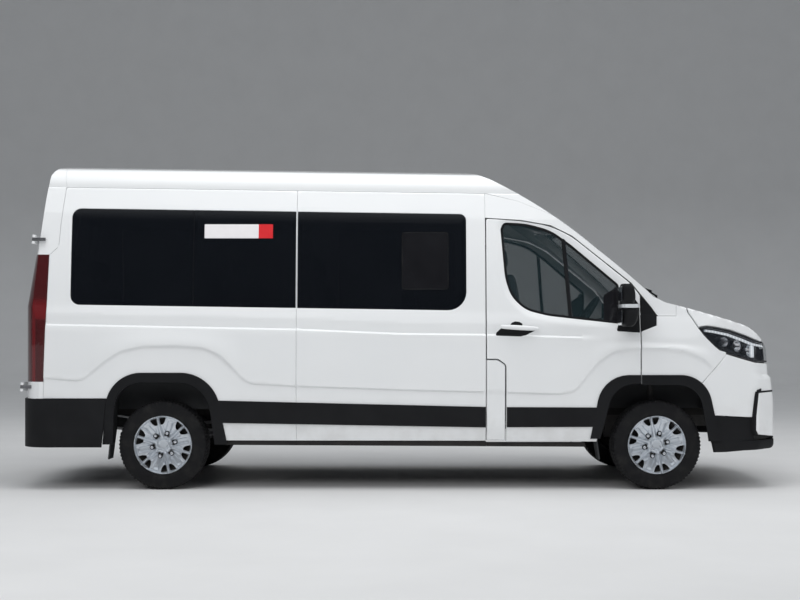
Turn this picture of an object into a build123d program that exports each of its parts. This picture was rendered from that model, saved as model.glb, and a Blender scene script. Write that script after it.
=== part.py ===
from build123d import *
import math
import os

# A long, mid-roof minibus, in millimetres. +X is forward, +Y is the van's left, +Z is up.
# The origin is on the ground, under the middle of the overall length.

os.makedirs("parts", exist_ok=True)

# ---------------------------------------------------------------- driving dimensions

LENGTH = 5940                # over both bumpers
WIDTH = 2062                 # over the door skins, without the mirrors
WHEELBASE = 3760
FRONT_OVERHANG = 1015
TYRE_R = 340                 # loaded radius
TYRE_W = 226
TRACK = 1736                 # between the tyres' middle planes
ROOF_CROWN = 2500            # crown height at mid length
GUTTER_Z = 2274              # roof gutter height at mid length
SILL_Z = 345                 # underside of the sills
RAKE_DEG = 0.85              # the body stands a little nose-down
NOSE_BOW_AXIS_X = -1500      # vertical axis that the screen and nose are bowed about

TRIM = 9                     # black trims stand out from the skin
SKIN = 14                    # outer layer of a door or side panel
WALL = 60                    # whole thickness of a door or side wall
PANEL = 24                   # single panels: wings, bonnet, bumpers
GLASS_IN = 2                 # glass face behind the body skin
GLASS = 5                    # glass thickness
SEAM = 0.5                   # between pieces that are fixed together
SHUT_GAP = 8                 # round a door, at its skin
SHUT_STEP = 20               # the inner box of a door stands back by this much more
PIN_R = 5                    # hinge pins
PIN_PLAY = 0.3               # clearance of a pin in its bore
FLOOR_TOP = 690              # passenger floor
FLOOR_T = 30

# ---------------------------------------------------------------- derived places

FRONT_X = LENGTH / 2
REAR_X = -LENGTH / 2
FRONT_AXLE_X = FRONT_X - FRONT_OVERHANG
REAR_AXLE_X = FRONT_AXLE_X - WHEELBASE
HALF_W = WIDTH / 2 - TRIM     # body skin at the waist
WHEEL_Y = TRACK / 2
RAKE = math.radians(RAKE_DEG)
BODY_REAR_X = REAR_X + 110
BUMPER_LIP = 34              # how far the front bumper's bars stand out
TAIL_KNEE_Z = 1390           # the rear doors stand upright below this height
TAIL_LEAN = 160 / 920        # and lean forward above it
DOOR_REAR_X = 658            # front door's rear edge
DOOR_FRONT_X = 1823          # front door's front edge
MID_SEAM_X = -787            # seam between the middle and the rear side panels
TAIL_SEAM_X = -2560          # rear end of the side panels, at the gutter
RIGHT = -1
LEFT = 1


def raked(x, z):
    """Height at x of a line of the body that is at height z at mid length."""
    return z - x * math.tan(RAKE)


# ---------------------------------------------------------------- helpers

def save(piece, name):
    """Name a finished piece and write it."""
    piece.label = name
    export_step(piece, f"parts/{name}.step")


def outline(points, radii):
    """Closed outline through corner points, with rounded corners where radii are given."""
    if radii:
        FilletPolyline(*points, radius=radii, close=True)
    else:
        Polyline(*points, close=True)


def prism(plane, length, points, radii, grow):
    """Straight prism from an outline on a plane, with the outline grown all round (or shrunk)."""
    with BuildPart() as bar:
        with BuildSketch(plane):
            with BuildLine():
                outline(points, radii)
            make_face()
            if grow:
                offset(amount=grow, kind=Kind.INTERSECTION, mode=Mode.REPLACE)
        extrude(amount=length)
    return bar.part


def side_prism(points, radii=(), grow=0, low=-1400, high=1400):
    """Prism across the van, from an outline in X and Z, between two places in Y."""
    return prism(Plane.XZ.offset(-high), high - low, points, radii, grow)


def plan_prism(points, radii=(), grow=0, low=0, high=2700):
    """Upright prism, from an outline in X and Y, between two heights."""
    return prism(Plane.XY.offset(low), high - low, points, radii, grow)


def end_prism(points, radii=(), grow=0, low=-3300, high=3300):
    """Prism along the van, from an outline in Y and Z, between two places in X."""
    return prism(Plane.YZ.offset(low), high - low, points, radii, grow)


def block(x, y, z):
    """Plain box from three (low, high) pairs."""
    with BuildPart() as box:
        with Locations(((x[0] + x[1]) / 2, (y[0] + y[1]) / 2, (z[0] + z[1]) / 2)):
            Box(x[1] - x[0], y[1] - y[0], z[1] - z[0])
    return box.part


def rod(start, end, radius):
    """Round bar between two points."""
    line = Edge.make_line(start, end)
    with BuildPart() as bar:
        with BuildSketch(Plane(origin=start, z_dir=line % 0)):
            Circle(radius)
        extrude(amount=line.length)
    return bar.part


def common(*solids):
    """What the solids share."""
    with BuildPart() as shared:
        add(solids[0])
        for solid in solids[1:]:
            add(solid, mode=Mode.INTERSECT)
    return shared.part


def joined(*solids):
    with BuildPart() as whole:
        for solid in solids:
            add(solid)
    return whole.part


def cut(solid, *tools):
    with BuildPart() as rest:
        add(solid)
        for tool in tools:
            add(tool, mode=Mode.SUBTRACT)
    return rest.part


def mirrored(solid):
    """The same piece on the other side of the van."""
    with BuildPart() as other:
        mirror(solid, about=Plane.XZ)
    return other.part


def both_sides(solid):
    return joined(solid, mirrored(solid))


# ---------------------------------------------------------------- body form

def inset_line(points, inset, slide=None):
    """A line of points moved to its left by inset; slide is the direction that its ends keep to."""
    moved = []
    for i, point in enumerate(points):
        before = points[i - 1] if i > 0 else None
        after = points[i + 1] if i < len(points) - 1 else None
        normals = []
        for start, end in ((before, point), (point, after)):
            if start is None or end is None:
                continue
            length = math.dist(start, end)
            normals.append((-(end[1] - start[1]) / length, (end[0] - start[0]) / length))
        if len(normals) == 2:
            across = (normals[0][0] + normals[1][0], normals[0][1] + normals[1][1])
        else:
            across = slide or normals[0]
        reach = inset / (across[0] * normals[0][0] + across[1] * normals[0][1])
        moved.append((point[0] + across[0] * reach, point[1] + across[1] * reach))
    return moved


def draw(points, arcs=()):
    """Straight runs between points, with an arc over each point whose number is listed."""
    i = 0
    while i < len(points) - 1:
        if i + 1 in arcs:
            ThreePointArc(points[i], points[i + 1], points[i + 2])
            i += 2
        else:
            Line(points[i], points[i + 1])
            i += 1


# half cross-section at mid length, from the sill up to the roof's middle
SECTION = [
    (0, 60), (HALF_W - 62, 60), (HALF_W - 30, 380), (HALF_W - 8, 500), (HALF_W, 720),
    (HALF_W, 1180), (HALF_W - 20, 1310), (HALF_W - 30, 1365), (HALF_W - 60, 1720),
    (HALF_W - 100, 2075), (HALF_W - 144, GUTTER_Z - 8), (HALF_W - 156, GUTTER_Z),
    (HALF_W - 178, GUTTER_Z + 92), (HALF_W - 271, GUTTER_Z + 156),
    (400, ROOF_CROWN - 17), (0, ROOF_CROWN),
]
SECTION_ARCS = (8, 12, 14)
# half plan of the tail, and half plan of the nose
TAIL = [
    (BODY_REAR_X, 0), (BODY_REAR_X, HALF_W - 170), (BODY_REAR_X + 48, HALF_W - 48),
    (BODY_REAR_X + 175, HALF_W + 6), (3300, HALF_W + 6),
]
TAIL_ARCS = (2,)
NOSE = [
    (-3300, HALF_W + 5), (FRONT_AXLE_X, HALF_W + 5), (2440, HALF_W - 28),
    (2720, HALF_W - 95), (2860, HALF_W - 215), (3300, HALF_W - 900),
]
NOSE_ARCS = (2,)
# centre line of the front: roof, screen, bonnet, bumper
PROFILE = [
    (150, ROOF_CROWN + 8), (520, ROOF_CROWN - 22), (852, 2375), (1234, 2152), (1633, 1846),
    (1850, 1664), (2062, 1471), (2154, 1424), (2440, 1346), (2708, 1262), (2829, 1185),
    (FRONT_X - 70, 1076), (FRONT_X - BUMPER_LIP, 669), (FRONT_X - BUMPER_LIP, 100),
]
PROFILE_ARCS = (1, 3, 5, 8, 10)
NOSE_HALF_ANGLE = 34         # of the bowed front, each side of the middle
# rear end of the roof
ROOF_TAIL_X = BODY_REAR_X + TAIL_LEAN * (2300 - TAIL_KNEE_Z)
ROOF_TAIL = [
    (BODY_REAR_X - TAIL_LEAN * 1300, TAIL_KNEE_Z - 1300), (ROOF_TAIL_X, 2300), (ROOF_TAIL_X + 55, ROOF_CROWN - 37),
    (ROOF_TAIL_X + 190, ROOF_CROWN + 38), (3300, ROOF_CROWN + 38),
]
ROOF_TAIL_ARCS = (2,)


def section_solid(inset):
    """The cross-section drawn out along the raked body."""
    along = Plane(origin=(0, 0, 0), x_dir=(0, 1, 0), z_dir=(math.cos(RAKE), 0, -math.sin(RAKE)))
    with BuildPart() as solid:
        with BuildSketch(along.offset(-3300)):
            with BuildLine():
                draw(inset_line(SECTION, inset, slide=(0, 1)), SECTION_ARCS)
                mirror(about=Plane.YZ)
            make_face()
        extrude(amount=6600)
    return solid.part


def nose_solid(inset):
    """The front's centre line turned about the bow axis."""
    half_angle = math.radians(NOSE_HALF_ANGLE)
    start = Plane(
        origin=(NOSE_BOW_AXIS_X, 0, 0),
        x_dir=(math.cos(half_angle), -math.sin(half_angle), 0),
        z_dir=(-math.sin(half_angle), -math.cos(half_angle), 0),
    )
    line = inset_line([(x - NOSE_BOW_AXIS_X, z) for x, z in PROFILE], -inset)
    with BuildPart() as solid:
        with BuildSketch(start):
            with BuildLine():
                draw(line, PROFILE_ARCS)
                Polyline(line[-1], (50, line[-1][1]), (50, line[0][1]), line[0])
            make_face()
        revolve(axis=Axis((NOSE_BOW_AXIS_X, 0, 0), (0, 0, 1)), revolution_arc=2 * NOSE_HALF_ANGLE)
    body = block((-3300, PROFILE[0][0]), (-1400, 1400), (100, 2700))
    return joined(body, solid.part)


def tail_solid(inset):
    """Rounded tail corners: upright to the knee, then leaning forward."""
    line = inset_line(TAIL, -inset)
    with BuildPart() as solid:
        for low, height, lean in ((100, TAIL_KNEE_Z - 100, 0), (TAIL_KNEE_Z, 1300, TAIL_LEAN)):
            with BuildSketch(Plane.XY.offset(low)):
                with BuildLine():
                    draw(line, TAIL_ARCS)
                    Line(line[-1], (line[-1][0], 0))
                    mirror(about=Plane.XZ)
                make_face()
            extrude(amount=height * math.hypot(1, lean), dir=(lean, 0, 1))
    return solid.part


def plan_solid(inset):
    """Rounded nose corners."""
    line = inset_line(NOSE, -inset)
    with BuildPart() as solid:
        with BuildSketch(Plane.XY.offset(100)):
            with BuildLine():
                Line((line[0][0], 0), line[0])
                draw(line, NOSE_ARCS)
                Line(line[-1], (line[-1][0], 0))
                mirror(about=Plane.XZ)
            make_face()
        extrude(amount=2600)
    return solid.part


def roof_tail_solid(inset):
    """Rounded rear end of the roof."""
    line = inset_line(ROOF_TAIL, -inset)
    with BuildPart() as solid:
        with BuildSketch(Plane.XZ.offset(-1400)):
            with BuildLine():
                draw(line, ROOF_TAIL_ARCS)
                Polyline(line[-1], (line[-1][0], 50), (-3400, 50), (-3400, line[0][1]), line[0])
            make_face()
        extrude(amount=2800)
    return solid.part


def envelope(inset):
    """The whole body's outer form, or the same form this far inside it."""
    return common(section_solid(inset), nose_solid(inset), tail_solid(inset),
                  plan_solid(inset), roof_tail_solid(inset))


STOP_INSET = PANEL + 0.3     # a stop's top, just under its panel
BODY_IN = {inset: envelope(inset) for inset in
           (-TRIM, -SEAM, 0, GLASS_IN, GLASS_IN + GLASS, SKIN, SKIN + 0.3, PANEL - SEAM, PANEL, STOP_INSET, WALL)}


def shell(outer, inner):
    return cut(BODY_IN[outer], BODY_IN[inner])


TRIM_LAYER = shell(-TRIM, -SEAM)
SKIN_LAYER = shell(0, SKIN)
BOX_LAYER = shell(SKIN, WALL)
GLASS_LAYER = shell(GLASS_IN, GLASS_IN + GLASS)
LAMP_LAYER = shell(0, PANEL - SEAM)
PANEL_LAYER = shell(0, PANEL)
WALL_LAYER = joined(SKIN_LAYER, BOX_LAYER)

# ---------------------------------------------------------------- side outlines (x, z)

ROOF_EDGE = [(TAIL_SEAM_X, raked(TAIL_SEAM_X, GUTTER_Z)), (DOOR_REAR_X, raked(DOOR_REAR_X, GUTTER_Z)),
             (900, 2205), (1120, 2115), (1300, 2030)]
HEADER_TOP = (1390, 2150)
TAIL_SEAM = [(TAIL_SEAM_X, raked(TAIL_SEAM_X, GUTTER_Z)), (-2590, 2019), (-2602, 1850), (-2665, 1792)]
LAMP_TOP_Z = 1790
LAMP_LOW_Z = 822
LAMP_FRONT = [(-2672, LAMP_TOP_Z), (-2700, LAMP_LOW_Z)]
BUMPER_TOP_Z = 691
DOOR_TOP = [(919, 2050), (1147, 2010), (1310, 1928), (1757, 1566), (DOOR_FRONT_X, 1478)]
DOOR_LOW_Z = 372
REAR_ARCH = [(-2192, 200), (-2152, 818), (-1462, 818), (-1392, 200)]
REAR_ARCH_R = [0, 200, 240, 0]
REAR_ARCH_TRIM = [(-2275, 200), (-2205, 891), (-1412, 891), (-1286, 200)]
REAR_ARCH_TRIM_R = [0, 270, 300, 0]
FRONT_ARCH = [(1478, 200), (1632, 799), (2262, 799), (2372, 200)]
FRONT_ARCH_R = [0, 190, 190, 0]
FRONT_ARCH_TRIM = [(1408, 200), (1535, 874), (2318, 874), (2472, 200)]
FRONT_ARCH_TRIM_R = [0, 240, 240, 0]
STRIPE_TOP_Z = 658
STRIPE_H = 165
WINDOW_TOP_Z = 2109
WINDOW_LOW_Z = 1370
PANE_EDGES = [(-2505, -1578), (-1570, MID_SEAM_X - 6), (MID_SEAM_X + 6, 505)]
WINDOW_FLANGE = 55           # a pane's edge is glued to this much of the panel


def pane_outline(rear, front):
    """Corners of one fixed side pane between two places along the van."""
    return [(rear, raked(rear, WINDOW_LOW_Z)), (front, raked(front, WINDOW_LOW_Z)),
            (front, raked(front, WINDOW_TOP_Z)), (rear, raked(rear, WINDOW_TOP_Z))]


PANE_R = [[70, 8, 8, 70], [8, 8, 8, 8], [8, 120, 45, 8]]


def glazed(wall, rear_right_index):
    """Cut a wall for a fixed pane: a shallow seat for the glass and the opening inside it."""
    points = pane_outline(*PANE_EDGES[rear_right_index])
    radii = PANE_R[rear_right_index]
    seat = common(SKIN_LAYER, side_prism(points, radii, SEAM))
    hole = side_prism(points, [r + 20 for r in radii], -WINDOW_FLANGE)
    return cut(wall, seat, hole)


def pane(index):
    points = pane_outline(*PANE_EDGES[index])
    return common(GLASS_LAYER, side_prism(points, PANE_R[index], 0, -1400, 0))


def on_right(solid):
    """The right half of something that spans the van."""
    return common(solid, block((-3300, 3300), (-1400, 0), (0, 2800)))


# ---------------------------------------------------------------- fixed body panels

rear_side_outline = [(MID_SEAM_X - SEAM, raked(MID_SEAM_X, GUTTER_Z) - SEAM)] + [
    (x, z - SEAM) for x, z in TAIL_SEAM[:1]] + TAIL_SEAM[1:] + LAMP_FRONT + [
    (-2702, BUMPER_TOP_Z + 4), (-2160, BUMPER_TOP_Z + 4), (-2160, SILL_Z), (MID_SEAM_X - SEAM, SILL_Z)]
rear_arch_prism = side_prism(REAR_ARCH, REAR_ARCH_R)
with BuildPart() as rear_side:
    add(common(WALL_LAYER, side_prism(rear_side_outline)))
    add(rear_arch_prism, mode=Mode.SUBTRACT)
rear_side_wall = glazed(glazed(rear_side.part, 0), 1)
with BuildPart() as side_panel_right:
    add(on_right(rear_side_wall))
save(side_panel_right.part, "side_panel_right")
with BuildPart() as side_panel_left:
    mirror(side_panel_right.part, about=Plane.XZ)
save(side_panel_left.part, "side_panel_left")

mid_outline = [(MID_SEAM_X + SEAM, SILL_Z + 5), (DOOR_REAR_X - SHUT_GAP, SILL_Z - 8),
               (DOOR_REAR_X - SHUT_GAP, raked(DOOR_REAR_X, GUTTER_Z) - SEAM),
               (MID_SEAM_X + SEAM, raked(MID_SEAM_X, GUTTER_Z) - SEAM)]
mid_wall = common(WALL_LAYER, side_prism(mid_outline))
with BuildPart() as mid_panel_right:
    add(on_right(glazed(mid_wall, 2)))
SLIDER = [(-645, 430), (600, 415), (600, 2185), (-645, 2205)]
SLIDER_R = [60, 60, 60, 60]
with BuildPart() as mid_panel_left:
    mirror(on_right(mid_wall), about=Plane.XZ)
    add(side_prism(SLIDER, SLIDER_R), mode=Mode.SUBTRACT)
save(mid_panel_left.part, "mid_panel_left")
PANE_EDGES.append((-560, 505))
PANE_R.append([45, 120, 45, 45])
with BuildPart() as sliding_door_left:
    mirror(on_right(glazed(common(WALL_LAYER, side_prism(SLIDER, SLIDER_R, -SEAM)), 3)), about=Plane.XZ)
save(sliding_door_left.part, "sliding_door_left")

with BuildPart() as side_glass:
    for index in range(3):
        add(pane(index))
    for index in (0, 1, 3):
        mirror(pane(index), about=Plane.XZ)
save(side_glass.part, "side_glass")

# rear frame: the corners and the surround of the rear doors
REAR_DOOR_HALF = 822
REAR_DOOR_LOW = BUMPER_TOP_Z + 10
REAR_DOOR_TOP = 2292


def rear_door_outline(inner, outer):
    """Corners of a right rear door, from the middle of the van outwards."""
    return [(-inner, REAR_DOOR_TOP), (-inner, REAR_DOOR_LOW), (-outer, REAR_DOOR_LOW), (-outer, REAR_DOOR_TOP)]


tail_region = TAIL_SEAM[1:] + LAMP_FRONT + [
    (-2702, BUMPER_TOP_Z - 30), (-3200, BUMPER_TOP_Z - 30), (-3200, 2700), (TAIL_SEAM_X - 46, 2700), TAIL_SEAM[0]]
tail_prism = side_prism([(x - 1, z + 1) for x, z in tail_region])
lamp_prism = side_prism(LAMP_FRONT + [(-3200, LAMP_LOW_Z), (-3200, LAMP_TOP_Z)], (), 0, -1400, -REAR_DOOR_HALF - SHUT_GAP)
door_hole_outline = rear_door_outline(-(REAR_DOOR_HALF + SHUT_GAP), REAR_DOOR_HALF + SHUT_GAP)
door_hole = prism(Plane.YZ.offset(-3300), 800, [
    (REAR_DOOR_HALF + SHUT_GAP, REAR_DOOR_TOP + SHUT_GAP), (REAR_DOOR_HALF + SHUT_GAP, REAR_DOOR_LOW - SHUT_GAP),
    (-REAR_DOOR_HALF - SHUT_GAP, REAR_DOOR_LOW - SHUT_GAP), (-REAR_DOOR_HALF - SHUT_GAP, REAR_DOOR_TOP + SHUT_GAP)],
    [110, 60, 60, 110], 0)
lamp_seat = common(PANEL_LAYER, lamp_prism)
with BuildPart() as rear_frame:
    add(common(WALL_LAYER, tail_prism))
    add(door_hole, mode=Mode.SUBTRACT)
    for y in ((-1400, -780), (780, 1400)):
        add(block((-3300, -2500), y, (0, BUMPER_TOP_Z + 4)), mode=Mode.SUBTRACT)
    add(lamp_seat, mode=Mode.SUBTRACT)
    mirror(lamp_seat, about=Plane.XZ, mode=Mode.SUBTRACT)
save(rear_frame.part, "rear_frame")
lamp_body = side_prism(LAMP_FRONT + [(-3200, LAMP_LOW_Z), (-3200, LAMP_TOP_Z)], (), -SEAM,
                       -1400, -REAR_DOOR_HALF - SHUT_GAP - SEAM)
with BuildPart() as tail_lamps:
    add(common(LAMP_LAYER, lamp_body))
    mirror(tail_lamps.part, about=Plane.XZ)
save(tail_lamps.part, "tail_lamps")

# cab frame: rails over the doors, screen pillars, header and scuttle
SCREEN_LOW = (855, 1462)     # lower and upper corners of the screen: distance from the middle, height
SCREEN_TOP = (700, 2062)
COWL_X = 2096
SAIL = [(DOOR_FRONT_X + SHUT_GAP, 1205), (1945, 1250), (1948, 1322), (1905, 1384), (DOOR_FRONT_X + SHUT_GAP, 1475)]
screen_outline = [(SCREEN_LOW[0], SCREEN_LOW[1]), (SCREEN_TOP[0], SCREEN_TOP[1]),
                  (-SCREEN_TOP[0], SCREEN_TOP[1]), (-SCREEN_LOW[0], SCREEN_LOW[1])]
SCREEN_R = [40, 70, 70, 40]
screen_hole = common(end_prism(screen_outline, SCREEN_R, 0, 900, 3000), side_prism([(1100, 1300), (2300, 1300), (2300, 2300), (1100, 2300)]))
cab_outline = [(DOOR_REAR_X - SHUT_GAP + SEAM, raked(DOOR_REAR_X, GUTTER_Z) - SEAM)] + [
    (x, z - SEAM) for x, z in ROOF_EDGE[2:]] + [
    (HEADER_TOP[0] - SEAM, HEADER_TOP[1] - SEAM), (1700, 2300), (2600, 1700), (COWL_X, 1520), (COWL_X, 1323), (1960, 1323)] + [
    (x + 4, z + 6) for x, z in SAIL[2:]] + [(x + 5, z + 7) for x, z in reversed(DOOR_TOP[:-1])] + [
    (DOOR_REAR_X - SHUT_GAP + SEAM, 2074)]
with BuildPart() as cab_frame:
    add(common(WALL_LAYER, side_prism(cab_outline)))
    add(screen_hole, mode=Mode.SUBTRACT)
save(cab_frame.part, "cab_frame")
roof_outline = [(x, z + SEAM) for x, z in ROOF_EDGE] + [HEADER_TOP, (900, 2700), (TAIL_SEAM_X - 45, 2700)]
with BuildPart() as roof_panel:
    add(common(PANEL_LAYER, side_prism(roof_outline)))
    add(screen_hole, mode=Mode.SUBTRACT)
save(roof_panel.part, "roof_panel")
with BuildPart() as windscreen:
    add(common(GLASS_LAYER, end_prism(screen_outline, SCREEN_R, -SEAM, 900, 3000), side_prism([(1100, 1300), (2300, 1300), (2300, 2300), (1100, 2300)])))
save(windscreen.part, "windscreen")

# ---------------------------------------------------------------- nose

LAMP = [(2300, 1236), (2365, 1252), (2475, 1230), (2600, 1186), (2762, 1112), (2960, 1040),
        (2960, 940), (2790, 962), (2560, 1030), (2440, 1080), (2345, 1150)]
LAMP_INNER_Y = 600           # inner end of a headlamp, from the middle
BONNET_SIDE = [(COWL_X + SHUT_GAP, 1250), (2290, 1244), (2365, 1260), (2475, 1238), (2600, 1194),
               (2765, 1120), (3000, 1046), (3000, 1600), (COWL_X + SHUT_GAP, 1600)]
BONNET_PLAN = [(COWL_X + SHUT_GAP, -790), (2290, -850), (2400, -950), (3100, -950),
               (3100, 950), (2400, 950), (2290, 850), (COWL_X + SHUT_GAP, 790)]
GRILLE_TOP_Z = 1096
GRILLE_LOW_Z = 905
LOWER_BUMPER_Z = 566
BUMPER_SEAM = [(2310, 820), (2392, 905), (2470, 1068), (2560, 1022), (2790, 954)]
WING = [(DOOR_FRONT_X + SHUT_GAP, 500), (DOOR_FRONT_X + SHUT_GAP, 1204.5), (1945.5, 1249.5), (1948.5, 1322),
        (COWL_X + SEAM, 1322), (COWL_X + SEAM, 1520), (2470, 1500), (2470, 1068), (2392, 905),
        (2310, 820), (2310, 560)]

bonnet_side_gap = [(COWL_X - 60, 1242)] + [(x, z - SHUT_GAP) for x, z in BONNET_SIDE[1:-1]] + [(COWL_X - 60, 1600)]
bonnet_gap = common(side_prism(bonnet_side_gap), plan_prism(BONNET_PLAN, (), SHUT_GAP))
lamp_gap = cut(side_prism(LAMP, (), SEAM), block((2000, 3300), (-LAMP_INNER_Y, LAMP_INNER_Y), (0, 2000)))
front_arch_prism = side_prism(FRONT_ARCH, FRONT_ARCH_R)
with BuildPart() as front_wings:
    add(common(PANEL_LAYER, side_prism(WING)))
    add(bonnet_gap, mode=Mode.SUBTRACT)
    add(lamp_gap, mode=Mode.SUBTRACT)
    add(front_arch_prism, mode=Mode.SUBTRACT)
save(front_wings.part, "front_wings")

with BuildPart() as bonnet:
    add(common(PANEL_LAYER, side_prism(BONNET_SIDE), plan_prism(BONNET_PLAN)))
save(bonnet.part, "bonnet")

lamp_piece = common(LAMP_LAYER, side_prism(LAMP, (), -SEAM, -1400, -LAMP_INNER_Y - SEAM))
with BuildPart() as headlamps:
    add(lamp_piece)
    mirror(lamp_piece, about=Plane.XZ)
save(headlamps.part, "headlamps")

NOSE_FACE_X = 2600
grille_face = block((NOSE_FACE_X, 3100), (-LAMP_INNER_Y + SEAM, LAMP_INNER_Y - SEAM), (GRILLE_LOW_Z, 1120))
with BuildPart() as grille:
    add(common(LAMP_LAYER, grille_face))
    add(bonnet_gap, mode=Mode.SUBTRACT)
    with Locations([(FRONT_X - 60, 0, GRILLE_LOW_Z + z) for z in (48, 92, 136)]):
        Box(300, 2 * LAMP_INNER_Y - 120, 26, mode=Mode.SUBTRACT)
save(grille.part, "grille")

TOW_EYE = (450, 590)         # front tow eye: distance from the middle, height
bumper_outline = [(x + SEAM, z - SEAM) for x, z in BUMPER_SEAM] + [
    (3000, 905), (3000, LOWER_BUMPER_Z), (2424, LOWER_BUMPER_Z), (2310, LOWER_BUMPER_Z)]
with BuildPart() as front_bumper:
    add(common(PANEL_LAYER, side_prism(bumper_outline)))
    add(lamp_gap, mode=Mode.SUBTRACT)
    add(block((2000, 3300), (-LAMP_INNER_Y, LAMP_INNER_Y), (GRILLE_LOW_Z - SEAM, 1200)), mode=Mode.SUBTRACT)
    add(front_arch_prism, mode=Mode.SUBTRACT)
    add(rod((2600, -TOW_EYE[0], TOW_EYE[1]), (3100, -TOW_EYE[0], TOW_EYE[1]), 26), mode=Mode.SUBTRACT)
save(front_bumper.part, "front_bumper")


def nose_bar(low, high, depth, inset):
    """A bar that follows the bowed nose, standing out from it."""
    r = FRONT_X - BUMPER_LIP - NOSE_BOW_AXIS_X
    half_angle = math.radians(NOSE_HALF_ANGLE)
    start = Plane(
        origin=(NOSE_BOW_AXIS_X, 0, 0),
        x_dir=(math.cos(half_angle), -math.sin(half_angle), 0),
        z_dir=(-math.sin(half_angle), -math.cos(half_angle), 0),
    )
    with BuildPart() as bar:
        with BuildSketch(start):
            with BuildLine():
                Polyline((r - 30, low), (r - 10, low), (r + depth, low + 18), (r + depth, high - 18),
                         (r, high), (r - 30, high), close=True)
            make_face()
        revolve(axis=Axis((NOSE_BOW_AXIS_X, 0, 0), (0, 0, 1)), revolution_arc=2 * NOSE_HALF_ANGLE)
        add(plan_solid(inset - depth), mode=Mode.INTERSECT)
    return bar.part


lower_outline = [(2420, LOWER_BUMPER_Z - SEAM), (3100, LOWER_BUMPER_Z - SEAM), (3100, 285), (2620, 285), (2420, 320)]
chin_hollow = BODY_IN[PANEL]
with BuildPart() as front_lower_bumper:
    add(common(PANEL_LAYER, side_prism(lower_outline)))
    add(cut(common(nose_bar(305, 385, BUMPER_LIP, 0), block((2600, 3100), (-1400, 1400), (0, 700))), chin_hollow))
    add(front_arch_prism, mode=Mode.SUBTRACT)
save(front_lower_bumper.part, "front_lower_bumper")

def on_screen(y, z, out):
    """Point over the windscreen, this far out from its face."""
    low, high = PROFILE[6], PROFILE[5]
    reach = low[0] + (high[0] - low[0]) * (z - low[1]) / (high[1] - low[1]) - NOSE_BOW_AXIS_X
    x = math.sqrt(reach ** 2 - y ** 2) + NOSE_BOW_AXIS_X
    return (x + 0.67 * out, y, z + 0.74 * out)


# black corner pieces under the screen pillars, and the wipers on the scuttle
with BuildPart() as scuttle_trims:
    add(common(PANEL_LAYER, side_prism(SAIL)))
    for y in (-470, 150):
        foot_x = math.sqrt((2078 - NOSE_BOW_AXIS_X) ** 2 - y ** 2) + NOSE_BOW_AXIS_X
        foot = rod((foot_x, y, 1430), (foot_x, y, 1496), 9)
        arm = rod((foot_x, y, 1490), on_screen(y + 185, 1545, 17), 7)
        blade = rod(on_screen(y - 110, 1510, 19), on_screen(y + 480, 1580, 19), 8)
        add(cut(joined(foot, arm, blade), BODY_IN[-SEAM]))
save(scuttle_trims.part, "scuttle_trims")

# ---------------------------------------------------------------- rear bumper

TOW_NOTCH = 120              # half width of the notch that leaves the tow bracket open
REAR_BUMPER = [(-2160, HALF_W + TRIM), (-2600, HALF_W + TRIM), (-2812, HALF_W - 42), (BODY_REAR_X - 28, HALF_W - 180)]


def rear_bumper_solid(inset):
    with BuildPart() as solid:
        with BuildSketch(Plane.XY.offset(326)):
            with BuildLine():
                line = inset_line(REAR_BUMPER, inset)
                Polyline((line[0][0], 0), line[0], line[1])
                ThreePointArc(line[1], line[2], line[3])
                mirror(about=Plane.XZ)
                ThreePointArc(line[3], (REAR_X + inset, 0), (line[3][0], -line[3][1]))
            make_face()
        extrude(amount=BUMPER_TOP_Z - 326)
    return solid.part


with BuildPart() as rear_bumper:
    add(cut(rear_bumper_solid(0), rear_bumper_solid(PANEL)))
    add(side_prism(REAR_ARCH_TRIM, REAR_ARCH_TRIM_R, SEAM), mode=Mode.SUBTRACT)
    add(block((-2700, -2100), (-HALF_W + 100, HALF_W - 100), (300, 700)), mode=Mode.SUBTRACT)
    add(block((-3100, -2900), (-TOW_NOTCH, TOW_NOTCH), (300, 540)), mode=Mode.SUBTRACT)
save(rear_bumper.part, "rear_bumper")

# ---------------------------------------------------------------- front doors

DOOR = [(DOOR_REAR_X, DOOR_LOW_Z), (DOOR_FRONT_X, DOOR_LOW_Z - 8)] + list(reversed(DOOR_TOP)) + [(DOOR_REAR_X, 2066)]
DOOR_HINGE_X = DOOR_FRONT_X - 40
DOOR_HINGE_LOW = (DOOR_HINGE_X, -(HALF_W - 20 + 0.035 * 650), 600)
DOOR_HINGE_TOP = (DOOR_HINGE_X, -(HALF_W - 20), 1250)
DOOR_HINGES_Z = (905, 1150)
DOOR_PANE = [(768, 1985), (800, 1610), (845, 1470), (955, 1365), (1130, 1322), (1665, 1262), (1665, 1560),
             (1300, 1870), (1150, 1978), (960, 2030), (790, 2038)]
DOOR_PANE_R = [20, 60, 80, 80, 60, 8, 60, 60, 60, 60, 20]
FLAP_LOW_Z = 380
FLAP_TOP_Z = 985
FLAP_W = 137
FLAP_GAP = 11
FLAP = [(DOOR_REAR_X, FLAP_LOW_Z), (DOOR_REAR_X + FLAP_W, FLAP_LOW_Z), (DOOR_REAR_X + FLAP_W, FLAP_TOP_Z - 40),
        (DOOR_REAR_X + FLAP_W - 60, FLAP_TOP_Z), (DOOR_REAR_X, FLAP_TOP_Z)]


def hinge_point(low, top, z):
    """Point of a leaning hinge line at a height."""
    share = (z - low[2]) / (top[2] - low[2])
    return tuple(a + (b - a) * share for a, b in zip(low, top))


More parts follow.
